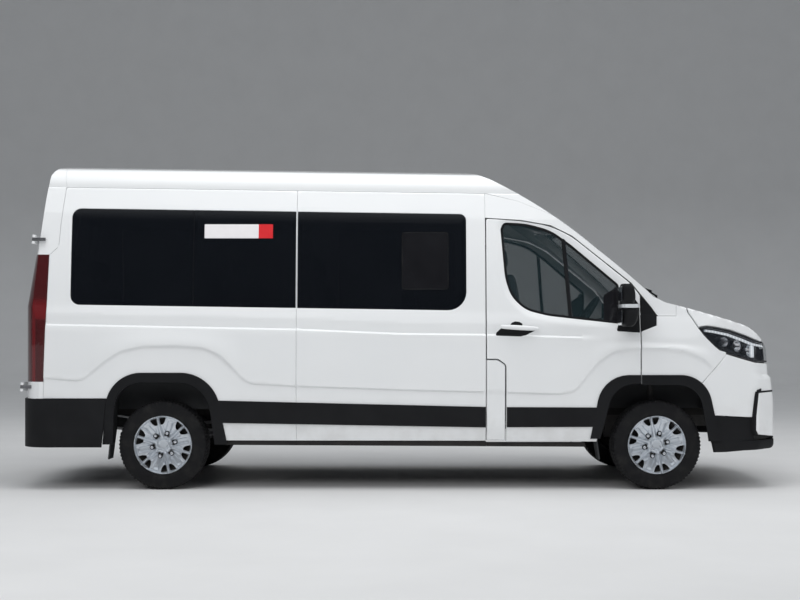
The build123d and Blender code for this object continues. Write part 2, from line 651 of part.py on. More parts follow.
def door_hinge(z):
    """Pin with a goosenecked arm that goes inboard and then forward to the body."""
    middle = hinge_point(DOOR_HINGE_LOW, DOOR_HINGE_TOP, z)
    pin = rod(hinge_point(DOOR_HINGE_LOW, DOOR_HINGE_TOP, z - 38),
              hinge_point(DOOR_HINGE_LOW, DOOR_HINGE_TOP, z + 38), PIN_R)
    neck = block((DOOR_HINGE_X - PIN_R, DOOR_HINGE_X + PIN_R), (middle[1], middle[1] + 96), (z - 12, z + 12))
    arm = block((DOOR_HINGE_X - PIN_R, 1869.7), (middle[1] + 80, middle[1] + 96), (z - 12, z + 12))
    return joined(pin, neck, arm)


def hinge_pocket(z):
    """Room in the door for the pin's arm, open inboard and forward, and the pin's bore."""
    middle = hinge_point(DOOR_HINGE_LOW, DOOR_HINGE_TOP, z)
    bore = rod(hinge_point(DOOR_HINGE_LOW, DOOR_HINGE_TOP, z - 40),
               hinge_point(DOOR_HINGE_LOW, DOOR_HINGE_TOP, z + 40), PIN_R + PIN_PLAY)
    room = block((DOOR_HINGE_X - PIN_R - 8, DOOR_FRONT_X + 60), (middle[1] - 8, middle[1] + 120), (z - 20, z + 20))
    return joined(bore, room)


def layered(outline_points, radii, step, region):
    """A door in two layers: the skin to its shut line, the box inside it standing back."""
    skin = common(SKIN_LAYER, side_prism(outline_points, radii, 0), region)
    box = common(BOX_LAYER, side_prism(outline_points, radii, -step), region)
    return joined(skin, box)


right_half = block((-3300, 3300), (-1400, 0), (0, 2800))
door_body = layered(DOOR, (), SHUT_STEP, right_half)
pane_seat = common(SKIN_LAYER, side_prism(DOOR_PANE, DOOR_PANE_R, SEAM))
pane_hole = side_prism(DOOR_PANE, (), -45)
flap_gap = side_prism(FLAP, (), FLAP_GAP)
with BuildPart() as door_front_left:
    add(door_body)
    add(pane_seat, mode=Mode.SUBTRACT)
    add(pane_hole, mode=Mode.SUBTRACT)
    add(side_prism(FRONT_ARCH, FRONT_ARCH_R, SHUT_GAP), mode=Mode.SUBTRACT)
    for z in DOOR_HINGES_Z:
        add(hinge_pocket(z), mode=Mode.SUBTRACT)
with BuildPart() as door_front_right:
    add(door_front_left.part)
    add(flap_gap, mode=Mode.SUBTRACT)
save(door_front_right.part, "door_front_right")
door_glass = common(GLASS_LAYER, side_prism(DOOR_PANE, DOOR_PANE_R), right_half)
save(door_glass, "door_glass_right")

# black trims of a door: rubbing stripe, rear part of the arch trim, handle and mirror
STRIPE_AT_DOOR = raked(DOOR_REAR_X, STRIPE_TOP_Z) - 16
STRIPE_DOOR = [(DOOR_REAR_X + 3, STRIPE_AT_DOOR - STRIPE_H + 10), (1600, 482), (1600, 628), (DOOR_REAR_X + 3, STRIPE_AT_DOOR)]
front_trim_area = cut(joined(side_prism(STRIPE_DOOR), side_prism(FRONT_ARCH_TRIM, FRONT_ARCH_TRIM_R)),
                      side_prism(FRONT_ARCH, FRONT_ARCH_R, SHUT_GAP))
door_trim_area = side_prism([(600, 390), (DOOR_FRONT_X - 2, 390), (DOOR_FRONT_X - 2, 1000), (600, 1000)])
MIRROR_Y = (-1292, -1062)
HANDLE_Z = 1205
HANDLE_X = 890
with BuildPart() as door_trim_left:
    add(common(TRIM_LAYER, front_trim_area, door_trim_area, right_half))
    with Locations((HANDLE_X, -HALF_W - 24, HANDLE_Z)):
        Box(250, 24, 34)
    for x in (HANDLE_X - 105, HANDLE_X + 105):
        with Locations((x, -HALF_W, HANDLE_Z)):
            Box(30, 24, 30)
    # mirror: a foot on the door below the glass, an arm, and two housings
    add(block((1692, 1738), (-1120, -HALF_W + 12), (1232, 1258)))
    add(BODY_IN[0], mode=Mode.SUBTRACT)
    with BuildSketch(Plane.XZ.offset(-MIRROR_Y[0] - (MIRROR_Y[1] - MIRROR_Y[0]))):
        with BuildLine():
            FilletPolyline((1640, 1222), (1742, 1226), (1770, 1320), (1762, 1440), (1728, 1556), (1640, 1556),
                           radius=[24, 30, 60, 60, 30, 24], close=True)
        make_face()
    extrude(amount=MIRROR_Y[1] - MIRROR_Y[0])
    fillet(door_trim_left.edges().group_by(Axis.Y)[0], 30)
with BuildPart() as door_trim_right:
    add(door_trim_left.part)
    add(flap_gap, mode=Mode.SUBTRACT)
save(door_trim_right.part, "door_trim_right")

for piece, name in ((door_front_left.part, "door_front_left"), (door_glass, "door_glass_left"),
                    (door_trim_left.part, "door_trim_left")):
    save(mirrored(piece), name)

# fuel flap over its housing, in the notch of the right door
with BuildPart() as fuel_flap:
    add(common(SKIN_LAYER, side_prism(FLAP), right_half))
save(fuel_flap.part, "fuel_flap")
flap_pad = block((DOOR_REAR_X + 104, DOOR_REAR_X + 120), (-HALF_W - 20, -HALF_W + PANEL + 20), (700, 716))
with BuildPart() as flap_housing:
    add(common(shell(PANEL, WALL), side_prism([(DOOR_REAR_X - SHUT_GAP, FLAP_LOW_Z)] + FLAP[1:-1] + [(DOOR_REAR_X - SHUT_GAP, FLAP_TOP_Z)]), right_half))
    add(common(flap_pad, cut(BODY_IN[SKIN + 0.3], BODY_IN[WALL])))
    add(mid_panel_right.part)
save(flap_housing.part, "mid_panel_right")

# ---------------------------------------------------------------- rear doors

REAR_PANE = [(-95, 2180), (-95, 1420), (-775, 1420), (-715, 2180)]
REAR_PANE_R = [50, 50, 60, 70]
tail_half = block((-3300, -2550), (-1400, 0), (0, 2800))
rear_door_skin = common(SKIN_LAYER, end_prism(rear_door_outline(5, REAR_DOOR_HALF), [0, 0, 60, 110]), tail_half)
rear_door_box = common(BOX_LAYER, end_prism(rear_door_outline(5, REAR_DOOR_HALF), [0, 0, 60, 110], -SHUT_STEP), tail_half)
REAR_HINGES_Z = (783, 1905)
REAR_HINGE_LOW = (BODY_REAR_X - 16, -(HALF_W - 48), 783)
REAR_HINGE_TOP = (BODY_REAR_X + 74, -(HALF_W - 48), 1905)
KNUCKLE_R = 13


def rear_hinge_body(z):
    """Body half of a rear door hinge: a bracket on the corner, the middle knuckle and the pin."""
    at = hinge_point(REAR_HINGE_LOW, REAR_HINGE_TOP, z)
    bracket = cut(block((at[0], at[0] + 90), (at[1] - 12, at[1] + 12), (z - 12, z + 12)), BODY_IN[-SEAM])
    middle = rod(hinge_point(REAR_HINGE_LOW, REAR_HINGE_TOP, z - 12),
                 hinge_point(REAR_HINGE_LOW, REAR_HINGE_TOP, z + 12), KNUCKLE_R)
    pin = rod(hinge_point(REAR_HINGE_LOW, REAR_HINGE_TOP, z - 34),
              hinge_point(REAR_HINGE_LOW, REAR_HINGE_TOP, z + 34), PIN_R)
    return joined(bracket, middle, pin)


def rear_hinge_door(z):
    """Door half: two knuckles on a strap that lies over the door."""
    at = hinge_point(REAR_HINGE_LOW, REAR_HINGE_TOP, z)
    strap = block((at[0] - 6, at[0] + 6), (at[1], -700), (z - 34, z + 34))
    notch = rod(hinge_point(REAR_HINGE_LOW, REAR_HINGE_TOP, z - 13),
                hinge_point(REAR_HINGE_LOW, REAR_HINGE_TOP, z + 13), KNUCKLE_R + 12)
    pad = cut(block((at[0], at[0] + 60), (-812, -700), (z - 30, z + 30)), BODY_IN[0])
    body = cut(joined(strap, pad), notch, BODY_IN[0])
    ends = []
    for low, high in ((z - 34, z - 13.5), (z + 13.5, z + 34)):
        ends.append(rod(hinge_point(REAR_HINGE_LOW, REAR_HINGE_TOP, low),
                        hinge_point(REAR_HINGE_LOW, REAR_HINGE_TOP, high), KNUCKLE_R))
    bore = rod(hinge_point(REAR_HINGE_LOW, REAR_HINGE_TOP, z - 40),
               hinge_point(REAR_HINGE_LOW, REAR_HINGE_TOP, z + 40), PIN_R + PIN_PLAY)
    return cut(joined(body, *ends), bore)


with BuildPart() as rear_door_right:
    add(rear_door_skin)
    add(rear_door_box)
    add(common(SKIN_LAYER, end_prism(REAR_PANE, REAR_PANE_R, SEAM), tail_half), mode=Mode.SUBTRACT)
    add(end_prism(REAR_PANE, REAR_PANE_R, -45, -3300, -2400), mode=Mode.SUBTRACT)
    for z in REAR_HINGES_Z:
        add(rear_hinge_door(z))
save(rear_door_right.part, "rear_door_right")
save(mirrored(rear_door_right.part), "rear_door_left")
rear_pane = common(GLASS_LAYER, end_prism(REAR_PANE, REAR_PANE_R), tail_half)
save(rear_pane, "rear_glass_right")
save(mirrored(rear_pane), "rear_glass_left")

# ---------------------------------------------------------------- black side trims of the body

STRIPE_BODY = [(-1420, raked(-1296, STRIPE_TOP_Z - STRIPE_H)), (DOOR_REAR_X - SHUT_GAP, STRIPE_AT_DOOR - STRIPE_H + 10),
               (DOOR_REAR_X - SHUT_GAP, STRIPE_AT_DOOR), (-1420, raked(-1296, STRIPE_TOP_Z) + 4)]
rear_trim_area = cut(joined(side_prism(STRIPE_BODY), side_prism(REAR_ARCH_TRIM, REAR_ARCH_TRIM_R)), rear_arch_prism)
rear_trim_area = common(rear_trim_area, side_prism([(-2290, SILL_Z), (DOOR_REAR_X - SHUT_GAP, SILL_Z), (DOOR_REAR_X - SHUT_GAP, 1000), (-2290, 1000)]))
wing_trim_area = cut(common(side_prism(FRONT_ARCH_TRIM, FRONT_ARCH_TRIM_R),
                            side_prism([(DOOR_FRONT_X + SHUT_GAP, 370), (2600, 370), (2600, 1000), (DOOR_FRONT_X + SHUT_GAP, 1000)])),
                     front_arch_prism)
with BuildPart() as side_trims:
    add(common(TRIM_LAYER, rear_trim_area))
    add(common(TRIM_LAYER, wing_trim_area))
save(side_trims.part, "side_trims")

# ---------------------------------------------------------------- floor and wheel housings

FLOOR_LOW = FLOOR_TOP - FLOOR_T
HOUSING_T = 10
REAR_HOUSING = (REAR_AXLE_X - 395, REAR_AXLE_X + 415, 700, 836)
FRONT_HOUSING = (FRONT_AXLE_X - 462, FRONT_AXLE_X + 420, 545, 862)
INSIDE = BODY_IN[WALL]


def housing(rear, front, inner, top, outer, thickness):
    """Wheel housing on the right: a box open below and outside."""
    box = block((rear, front), (-outer, -inner), (FLOOR_LOW - 60, top))
    room = block((rear + thickness, front - thickness), (-outer - 50, -inner - thickness), (0, top - thickness))
    return cut(box, room)


REAR_FLAP = [(-2236, 225), (-2226, 225), (-2196, 460), (-2192, 650), (-2200, 650), (-2206, 460)]
FRONT_FLAP = [(1520, 225), (1530, 225), (1503, 400), (1503, 700), (1493, 700), (1493, 400)]
FLAP_Y = (-930, -760)        # mud flaps, as wide as the tyres
with BuildPart() as floor_pan:
    add(common(INSIDE, block((BODY_REAR_X, DOOR_REAR_X - SHUT_GAP), (-1100, 1100), (FLOOR_LOW, FLOOR_TOP))))
    for side in (RIGHT, LEFT):
        y = sorted((side * REAR_HOUSING[2], side * 1100))
        add(block(REAR_HOUSING[:2], y, (FLOOR_LOW - 100, FLOOR_TOP + 10)), mode=Mode.SUBTRACT)
    add(common(INSIDE, both_sides(housing(*REAR_HOUSING, 1100, HOUSING_T))))
    add(common(INSIDE, block((DOOR_REAR_X - SHUT_GAP, FRONT_HOUSING[0]), (-1100, 1100), (FLOOR_LOW, FLOOR_TOP))))
    add(block((FRONT_HOUSING[0], 1950), (-FRONT_HOUSING[2], FRONT_HOUSING[2]), (FLOOR_LOW, FLOOR_TOP)))
    add(both_sides(housing(*FRONT_HOUSING, 940, HOUSING_T)))
    add(block((1950, 1970), (-FRONT_HOUSING[2], FRONT_HOUSING[2]), (FLOOR_LOW, FRONT_HOUSING[3])))
    add(common(INSIDE, block((1950, 1970), (-940, 940), (FRONT_HOUSING[3] - HOUSING_T, 1330))))
    add(both_sides(block((1870, 1952), (880, 930), (FRONT_HOUSING[3] - HOUSING_T, 1330))))
    for flap in (REAR_FLAP, FRONT_FLAP):
        add(both_sides(side_prism(flap, (), 0, *FLAP_Y)))
    # rubber stops under the bonnet's rear corners
    add(common(both_sides(rod((2200, -700, FRONT_HOUSING[3] - 5), (2200, -700, 1500), 14)), BODY_IN[STOP_INSET]))
    add(joined(INSIDE, common(BODY_IN[STOP_INSET], block((2150, 2250), (-760, 760), (800, 1500)))), mode=Mode.INTERSECT)
    for side in (RIGHT, LEFT):
        y = sorted((side * 935, side * 1100))
        add(block((DOOR_REAR_X - 20, 1500), y, (0, 1400)), mode=Mode.SUBTRACT)
save(floor_pan.part, "floor_pan")

# ---------------------------------------------------------------- chassis

RAIL_Y = (400, 470)
RAIL_Z = (540, FLOOR_LOW)
RAIL_X = (BODY_REAR_X + 20, 2560)
CROSS_X = (-2700, -1250, -300, 560, 1350)
OUTRIGGER_X = (-1040, 0, 560)
BEAM_X = 2800
PLATE_X = -2930
with BuildPart() as chassis:
    add(both_sides(block(RAIL_X, RAIL_Y, RAIL_Z)))
    add(both_sides(block((RAIL_X[0] - 60, RAIL_X[1] + 20), (RAIL_Y[0] + 8, RAIL_Y[1] - 8), (RAIL_Z[0] + 8, RAIL_Z[1] - 8))), mode=Mode.SUBTRACT)
    for x in CROSS_X:
        add(block((x - 30, x + 30), (-RAIL_Y[0], RAIL_Y[0]), (570, RAIL_Z[1])))
    # front crash beam with the tow eye socket, on two horns
    add(block((BEAM_X, BEAM_X + 50), (-640, 640), (530, 650)))
    add(both_sides(block((RAIL_X[1], BEAM_X), RAIL_Y, (545, 645))))
    with BuildSketch(Plane(origin=(BEAM_X + 50, -TOW_EYE[0], TOW_EYE[1]), z_dir=(-1, 0, 0))):
        Circle(10)
    extrude(amount=40, mode=Mode.SUBTRACT)
    # post of the bonnet latch
    add(block((2740, BEAM_X), (-40, 40), (560, 620)))
    add(common(block((2740, 2770), (-40, 40), (560, 1400)), BODY_IN[STOP_INSET]))
    # rear bumper beam and the tow bracket's plate
    add(block((RAIL_X[0] - 40, RAIL_X[0]), (-700, 700), (540, 640)))
    add(both_sides(block((PLATE_X + 12, RAIL_X[0] - 40), (60, 76), (400, 640))))
    add(block((PLATE_X, PLATE_X + 12), (-76, 76), (372, 520)))
    with BuildSketch(Plane(origin=(PLATE_X, 0, 446), x_dir=(0, 1, 0), z_dir=(1, 0, 0))):
        with GridLocations(83, 56, 2, 2):
            Circle(6.5)
    extrude(amount=12, mode=Mode.SUBTRACT)
    # spring hangers, sill outriggers and jacking pads
    for x in (REAR_AXLE_X - 640, REAR_AXLE_X + 660):
        add(both_sides(block((x - 25, x + 25), (RAIL_Y[1], 560), (480, 600))))
    for x in OUTRIGGER_X:
        add(both_sides(block((x - 20, x + 20), (RAIL_Y[1], 900), (600, RAIL_Z[1]))))
    for x in (OUTRIGGER_X[0], OUTRIGGER_X[-1]):
        add(both_sides(block((x - 30, x + 30), (830, 900), (520, 600))))
save(chassis.part, "chassis")

with BuildPart() as engine_block:
    add(block((1985, 2520), (-290, 290), (440, 1040)))
    add(both_sides(block((2150, 2250), (290, RAIL_Y[0]), (570, 640))))
    add(block((1500, 1985), (-170, 170), (420, 640)))
    add(block((2610, 2670), (-480, 480), (RAIL_Z[1] + 8, 1000)))
    add(block((2520, 2610), (-150, 150), (700, 900)))
save(engine_block.part, "engine_block")

DIFF_Z = TYRE_R
HUB_R = 34
HUB_END = 50                 # end of a hub, outwards from the wheel's middle plane
with BuildPart() as rear_axle:
    add(rod((REAR_AXLE_X, -640, DIFF_Z), (REAR_AXLE_X, 640, DIFF_Z), 42))
    add(rod((REAR_AXLE_X, -700, DIFF_Z), (REAR_AXLE_X, -640, DIFF_Z), 125))
    add(rod((REAR_AXLE_X, 640, DIFF_Z), (REAR_AXLE_X, 700, DIFF_Z), 125))
    add(rod((REAR_AXLE_X, -WHEEL_Y - HUB_END, DIFF_Z), (REAR_AXLE_X, -700, DIFF_Z), HUB_R))
    add(rod((REAR_AXLE_X, 700, DIFF_Z), (REAR_AXLE_X, WHEEL_Y + HUB_END, DIFF_Z), HUB_R))
    with Locations((REAR_AXLE_X, 0, DIFF_Z)):
        Sphere(128)
    add(rod((REAR_AXLE_X + 100, 0, DIFF_Z), (REAR_AXLE_X + 210, 0, DIFF_Z + 8), 44))
    add(both_sides(block((REAR_AXLE_X - 70, REAR_AXLE_X + 70), (505, 570), (DIFF_Z + 30, DIFF_Z + 60))))
save(rear_axle.part, "rear_axle")

with BuildPart() as propshaft:
    add(rod((REAR_AXLE_X + 211, 0, DIFF_Z + 10), (-300, 0, 470), 34))
    add(rod((-300, 0, 470), (1498, 0, 520), 34))
    add(block((-330, -270), (-90, 90), (500, 569.5)))
save(propshaft.part, "propshaft")

SPRING_EYE_Z = 479.5
with BuildPart() as leaf_springs:
    with BuildSketch(Plane.XZ.offset(512)):
        with BuildLine():
            ThreePointArc((REAR_AXLE_X - 660, SPRING_EYE_Z), (REAR_AXLE_X, DIFF_Z + 84), (REAR_AXLE_X + 680, SPRING_EYE_Z))
            Line((REAR_AXLE_X + 680, SPRING_EYE_Z), (REAR_AXLE_X + 680, SPRING_EYE_Z - 14))
            ThreePointArc((REAR_AXLE_X + 680, SPRING_EYE_Z - 14), (REAR_AXLE_X, DIFF_Z + 60.5), (REAR_AXLE_X - 660, SPRING_EYE_Z - 14))
            Line((REAR_AXLE_X - 660, SPRING_EYE_Z - 14), (REAR_AXLE_X - 660, SPRING_EYE_Z))
        make_face()
    extrude(amount=46)
    mirror(about=Plane.XZ)
save(leaf_springs.part, "leaf_springs")

with BuildPart() as front_subframe:
    add(block((FRONT_AXLE_X - 90, FRONT_AXLE_X + 90), (-360, 360), (270, 340)))
    add(both_sides(block((FRONT_AXLE_X - 50, FRONT_AXLE_X + 50), (340, 395), (300, 500))))
    add(both_sides(block((FRONT_AXLE_X - 50, FRONT_AXLE_X + 50), (395, 465), (480, RAIL_Z[0] - 0.5))))
    add(both_sides(block((FRONT_AXLE_X - 45, FRONT_AXLE_X + 45), (355, 800), (218, 246))))
    add(both_sides(block((FRONT_AXLE_X - 45, FRONT_AXLE_X + 45), (340, 370), (218, 290))))
save(front_subframe.part, "front_subframe")

with BuildPart() as fuel_tank:
    add(block((-950, 350), (-830, -485), (400, 595)))
    fillet(fuel_tank.edges().filter_by(Axis.X), 40)
    for x in (-600, -80):
        add(block((x - 15, x + 15), (-640, -600), (595, FLOOR_LOW - 0.5)))
save(fuel_tank.part, "fuel_tank")

with BuildPart() as exhaust:
    add(rod((1400, 250, 470), (500, 330, 470), 30))
    add(rod((500, 330, 470), (-450, 330, 470), 85))
    add(rod((-450, 330, 470), (-1150, 330, 470), 30))
    add(rod((-1150, 330, 470), (-1330, 450, 400), 26))
    for x in (0, -1000):
        add(block((x - 10, x + 10), (320, 340), (490, FLOOR_LOW - 0.5)))
save(exhaust.part, "exhaust")

# ---------------------------------------------------------------- knuckles and wheels

KINGPIN_LOW = (FRONT_AXLE_X, -800, 250)
KINGPIN_TOP = (FRONT_AXLE_X, -660, 840)
DISC_LOW_Z = 266             # the brake disc's shield ends over the lower arm
with BuildPart() as knuckle_right:
    add(block((0, 4000), (-815, -790), (DISC_LOW_Z, 1000)))
    add(rod((FRONT_AXLE_X, -815, TYRE_R), (FRONT_AXLE_X, -790, TYRE_R), 150), mode=Mode.INTERSECT)
    add(rod(hinge_point(KINGPIN_LOW, KINGPIN_TOP, 251.8), hinge_point(KINGPIN_LOW, KINGPIN_TOP, 846.2), 22))
    add(rod((FRONT_AXLE_X, -WHEEL_Y - HUB_END, TYRE_R), (FRONT_AXLE_X, -740, TYRE_R), HUB_R))
    add(block((FRONT_AXLE_X - 130, FRONT_AXLE_X), (-782, -762), (TYRE_R - 20, TYRE_R + 20)))
save(knuckle_right.part, "knuckle_right")
save(mirrored(knuckle_right.part), "knuckle_left")

HUB_PLAY = 0.3
TYRE_PROFILE = [              # half section: from the wheel's middle plane outwards, radius
    (0, TYRE_R), (TYRE_W / 2 - 34, TYRE_R - 3), (TYRE_W / 2 - 12, TYRE_R - 16), (TYRE_W / 2, TYRE_R - 60),
    (TYRE_W / 2 - 2, TYRE_R - 92), (TYRE_W / 2 - 16, 212),
]
RIM_R = 211.5
RIM_W = 96                   # half width over the flanges
NUT_PCD = 182


def wheel_profile(points):
    """Closed profile from a half section, mirrored about the wheel's middle plane."""
    return list(points) + [(-w, r) for w, r in reversed(points) if w > 0]


def wheel_pieces(x, side):
    """Tyre and rim of one wheel."""
    centre = Plane(origin=(x, side * WHEEL_Y, TYRE_R), x_dir=(0, side, 0), z_dir=(-side, 0, 0))
    axis = Axis((x, side * WHEEL_Y, TYRE_R), (0, 1, 0))
    with BuildPart() as tyre:
        with BuildSketch(centre):
            with BuildLine():
                Polyline(*wheel_profile(TYRE_PROFILE), close=True)
            make_face()
        revolve(axis=axis)
    with BuildPart() as rim:
        with BuildSketch(centre):
            with BuildLine():
                Polyline((-RIM_W, RIM_R), (RIM_W, RIM_R), (RIM_W, 198), (70, 196), (58, 150), (62, 75), (74, 62),
                         (74, 0), (34, 0), (34, 100), (38, 150), (44, 188), (-RIM_W + 8, 196), (-RIM_W, 200), close=True)
            make_face()
        revolve(axis=axis)
        with BuildSketch(Plane(origin=(x, side * (WHEEL_Y + 100), TYRE_R), z_dir=(0, -side, 0))):
            with PolarLocations(158, 12):
                SlotOverall(46, 22)
        extrude(amount=90, mode=Mode.SUBTRACT)
        with BuildSketch(Plane(origin=(x, side * (WHEEL_Y + 60), TYRE_R), z_dir=(0, side, 0))):
            with PolarLocations(NUT_PCD / 2, 6):
                RegularPolygon(14, 6)
        extrude(amount=20)
        with BuildSketch(Plane(origin=(x, side * WHEEL_Y, TYRE_R), z_dir=(0, side, 0))):
            Circle(HUB_R + HUB_PLAY)
        extrude(amount=HUB_END + HUB_PLAY, mode=Mode.SUBTRACT)
    return tyre.part, rim.part


for end, x in (("front", FRONT_AXLE_X), ("rear", REAR_AXLE_X)):
    for side_name, side in (("right", RIGHT), ("left", LEFT)):
        tyre, rim = wheel_pieces(x, side)
        save(tyre, f"tyre_{end}_{side_name}")
        save(rim, f"rim_{end}_{side_name}")

# ---------------------------------------------------------------- inside

SEAT_W = 450
WHEEL_CENTRE = (1455, -540, 1310)
COLUMN = (0.82, 0, -0.57)
BOSS_END = 76                # end of the steering wheel's boss along the column


def along_column(reach):
    return tuple(c + reach * v for c, v in zip(WHEEL_CENTRE, COLUMN))


with BuildPart() as dashboard:
    with BuildSketch(Plane.XZ.offset(-860)):
        with BuildLine():
            FilletPolyline((1560, 1000), (1520, 1180), (1600, 1290), (1800, 1330), (1949.5, 1330), (1949.5, 960),
                           radius=[30, 40, 60, 60, 0, 0], close=True)
        make_face()
    extrude(amount=1720)
    add(block((1580, 1949.5), (-160, 160), (FLOOR_TOP + 0.3, 1000)))
    add(rod(along_column(BOSS_END + PIN_PLAY), along_column(280), 32))
save(dashboard.part, "dashboard")


def seat(x, y, width, depth, cushion_z, back_top):
    """One seat facing forward: a box foot, a cushion, a leaning back and a headrest."""
    half = width / 2 - 8
    with BuildPart() as whole:
        add(block((x - 40, x + 360), (y - half + 40, y + half - 40), (FLOOR_TOP, cushion_z - 120)))
        add(block((x, x + depth), (y - half, y + half), (cushion_z - 120, cushion_z)))
        with BuildSketch(Plane.XZ.offset(-y - half)):
            with BuildLine():
                Polyline((x + 20, cushion_z - 90), (x + 110, cushion_z - 60), (x - 10, back_top), (x - 90, back_top), close=True)
            make_face()
        extrude(amount=2 * half)
        add(block((x - 95, x - 15), (y - 130, y + 130), (back_top, back_top + 190)))
    return whole.part


CAB_SEATS = ((860, -540, 500), (860, 270, 400), (860, 685, 400))
ROWS = ((60, 3), (-640, 3), (-1340, 3), (-2560, 4))
ROW_PLACES = {3: (-665, -215, 640), 4: (-640, -215, 215, 640)}
with BuildPart() as cab_seats:
    for x, y, width in CAB_SEATS:
        add(seat(x, y, width, 450, 1130, 1680))
save(cab_seats.part, "cab_seats")
with BuildPart() as passenger_seats:
    for x, places in ROWS:
        for y in ROW_PLACES[places]:
            add(seat(x, y, SEAT_W, 480, 1120, 1640))
save(passenger_seats.part, "passenger_seats")

steer_plane = Plane(origin=WHEEL_CENTRE, x_dir=(0, 1, 0), z_dir=COLUMN)
with BuildPart() as steering_wheel:
    with BuildSketch(Plane(origin=WHEEL_CENTRE, x_dir=COLUMN, z_dir=(0, 1, 0))):
        with Locations((0, 195)):
            Circle(15)
    revolve(axis=Axis(WHEEL_CENTRE, COLUMN))
    with BuildSketch(steer_plane.offset(-12)):
        Circle(58)
        for angle in (90, 210, 330):
            with PolarLocations(95, 1, start_angle=angle):
                Rectangle(190, 34)
    extrude(amount=24)
    with BuildSketch(steer_plane.offset(10)):
        Circle(26)
    extrude(amount=BOSS_END - 10)
save(steering_wheel.part, "steering_wheel")

# ---------------------------------------------------------------- plates

PLATE_W = 520
PLATE_H = 111


def plate(x, depth, y, z):
    """Blank plate on a pad that fills the room to the curved face behind it."""
    return cut(block(sorted((x, x + depth)), (y - PLATE_W / 2, y + PLATE_W / 2), (z, z + PLATE_H)), BODY_IN[-SEAM])


save(plate(FRONT_X - 33, -40, 0, 700), "number_plate_front")
save(plate(BODY_REAR_X - 9, 40, -520, 900), "number_plate_rear")

with BuildPart() as door_hinges:
    for z in DOOR_HINGES_Z:
        add(door_hinge(z))
    for z in REAR_HINGES_Z:
        add(rear_hinge_body(z))
    mirror(about=Plane.XZ)
save(door_hinges.part, "door_hinges")
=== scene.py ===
# %% [markdown]
# # A passenger minibus
# The solids of this vehicle were made before, in a CAD program. This lesson dresses them: it gives every
# solid a material, and it replaces the plain outer panels with worked surfaces. A minibus is mostly large,
# calm sheets of painted steel, so the small creases, the shut lines and the wheels do the work of making
# it look real.

# %% Load the solids
import math
import bpy
import numpy as np
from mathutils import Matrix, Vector
from mathutils.geometry import delaunay_2d_cdt


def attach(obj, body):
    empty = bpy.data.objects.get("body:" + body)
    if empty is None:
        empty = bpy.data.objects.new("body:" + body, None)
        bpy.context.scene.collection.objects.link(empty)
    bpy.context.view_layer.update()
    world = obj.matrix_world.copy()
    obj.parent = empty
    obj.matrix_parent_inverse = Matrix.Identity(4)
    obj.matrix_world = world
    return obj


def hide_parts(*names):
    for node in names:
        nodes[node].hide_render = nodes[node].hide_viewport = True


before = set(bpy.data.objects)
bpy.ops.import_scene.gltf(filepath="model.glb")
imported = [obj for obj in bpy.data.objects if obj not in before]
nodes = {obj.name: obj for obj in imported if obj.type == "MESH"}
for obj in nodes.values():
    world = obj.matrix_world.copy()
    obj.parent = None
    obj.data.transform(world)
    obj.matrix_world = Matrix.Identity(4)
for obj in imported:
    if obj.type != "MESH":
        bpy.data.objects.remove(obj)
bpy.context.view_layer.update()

# %% [markdown]
# ## Surfaces from numbers
# A body panel could be pulled about by hand with sculpting tools. Here each one is a formula instead: a
# grid of two parameters goes in, a grid of points comes out, and one helper writes the whole array into a
# mesh. Nothing is placed by hand, so a change of one number moves a whole line of the body.

# %% Write arrays into meshes
def mesh_object(name, points, faces, body, smooth_angle=32):
    """Object from an (n, 3) array of points in metres and a list or array of faces."""
    mesh = bpy.data.meshes.new(name)
    faces = faces.tolist() if isinstance(faces, np.ndarray) else faces
    mesh.from_pydata(np.asarray(points, dtype=float).tolist(), [], faces)
    mesh.polygons.foreach_set("use_smooth", np.ones(len(mesh.polygons), dtype=bool))
    mesh.set_sharp_from_angle(angle=math.radians(smooth_angle))
    mesh.update()
    thing = bpy.data.objects.new(name, mesh)
    bpy.context.scene.collection.objects.link(thing)
    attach(thing, body)
    return thing


def grid_faces(rows, columns, round_rows=False, round_columns=False):
    """Quads of a rows by columns grid; round_* joins the last row or column to the first."""
    u, v = np.meshgrid(np.arange(rows if round_rows else rows - 1),
                       np.arange(columns if round_columns else columns - 1), indexing="ij")
    u1, v1 = (u + 1) % rows, (v + 1) % columns
    return np.stack([u * columns + v, u1 * columns + v, u1 * columns + v1, u * columns + v1], axis=-1).reshape(-1, 4)


print("mesh writer ready")

# %% [markdown]
# ## Turned and swept forms
# Rims, lamp bowls and the filler cap are turned parts. A handle or a mirror arm is a bar whose section
# changes along its length. Blender's screw and curve tools could make both. As formulas they come out closed
# and capped, and already in their place.

# %% Lathe and tube
def lathe(profile, centre, axis, steps=48):
    """Points of a closed profile of (distance along the axis, radius) turned round an axis through centre:
    p = centre + along * axis + radius * (cos a * e1 + sin a * e2). Returns points and faces."""
    axis = np.asarray(axis, dtype=float) / np.linalg.norm(axis)
    side = np.cross(axis, [0.0, 0.0, 1.0] if abs(axis[2]) < 0.9 else [1.0, 0.0, 0.0])
    side = side / np.linalg.norm(side)
    other = np.cross(axis, side)
    profile = np.asarray(profile, dtype=float)
    angle = np.arange(steps) * 2 * math.pi / steps
    along, radius = profile[:, 0][:, None, None], profile[:, 1][:, None, None]
    ring = np.cos(angle)[None, :, None] * side + np.sin(angle)[None, :, None] * other
    points = np.asarray(centre) + along * axis + radius * ring
    return points.reshape(-1, 3), grid_faces(len(profile), steps, round_rows=True, round_columns=True)


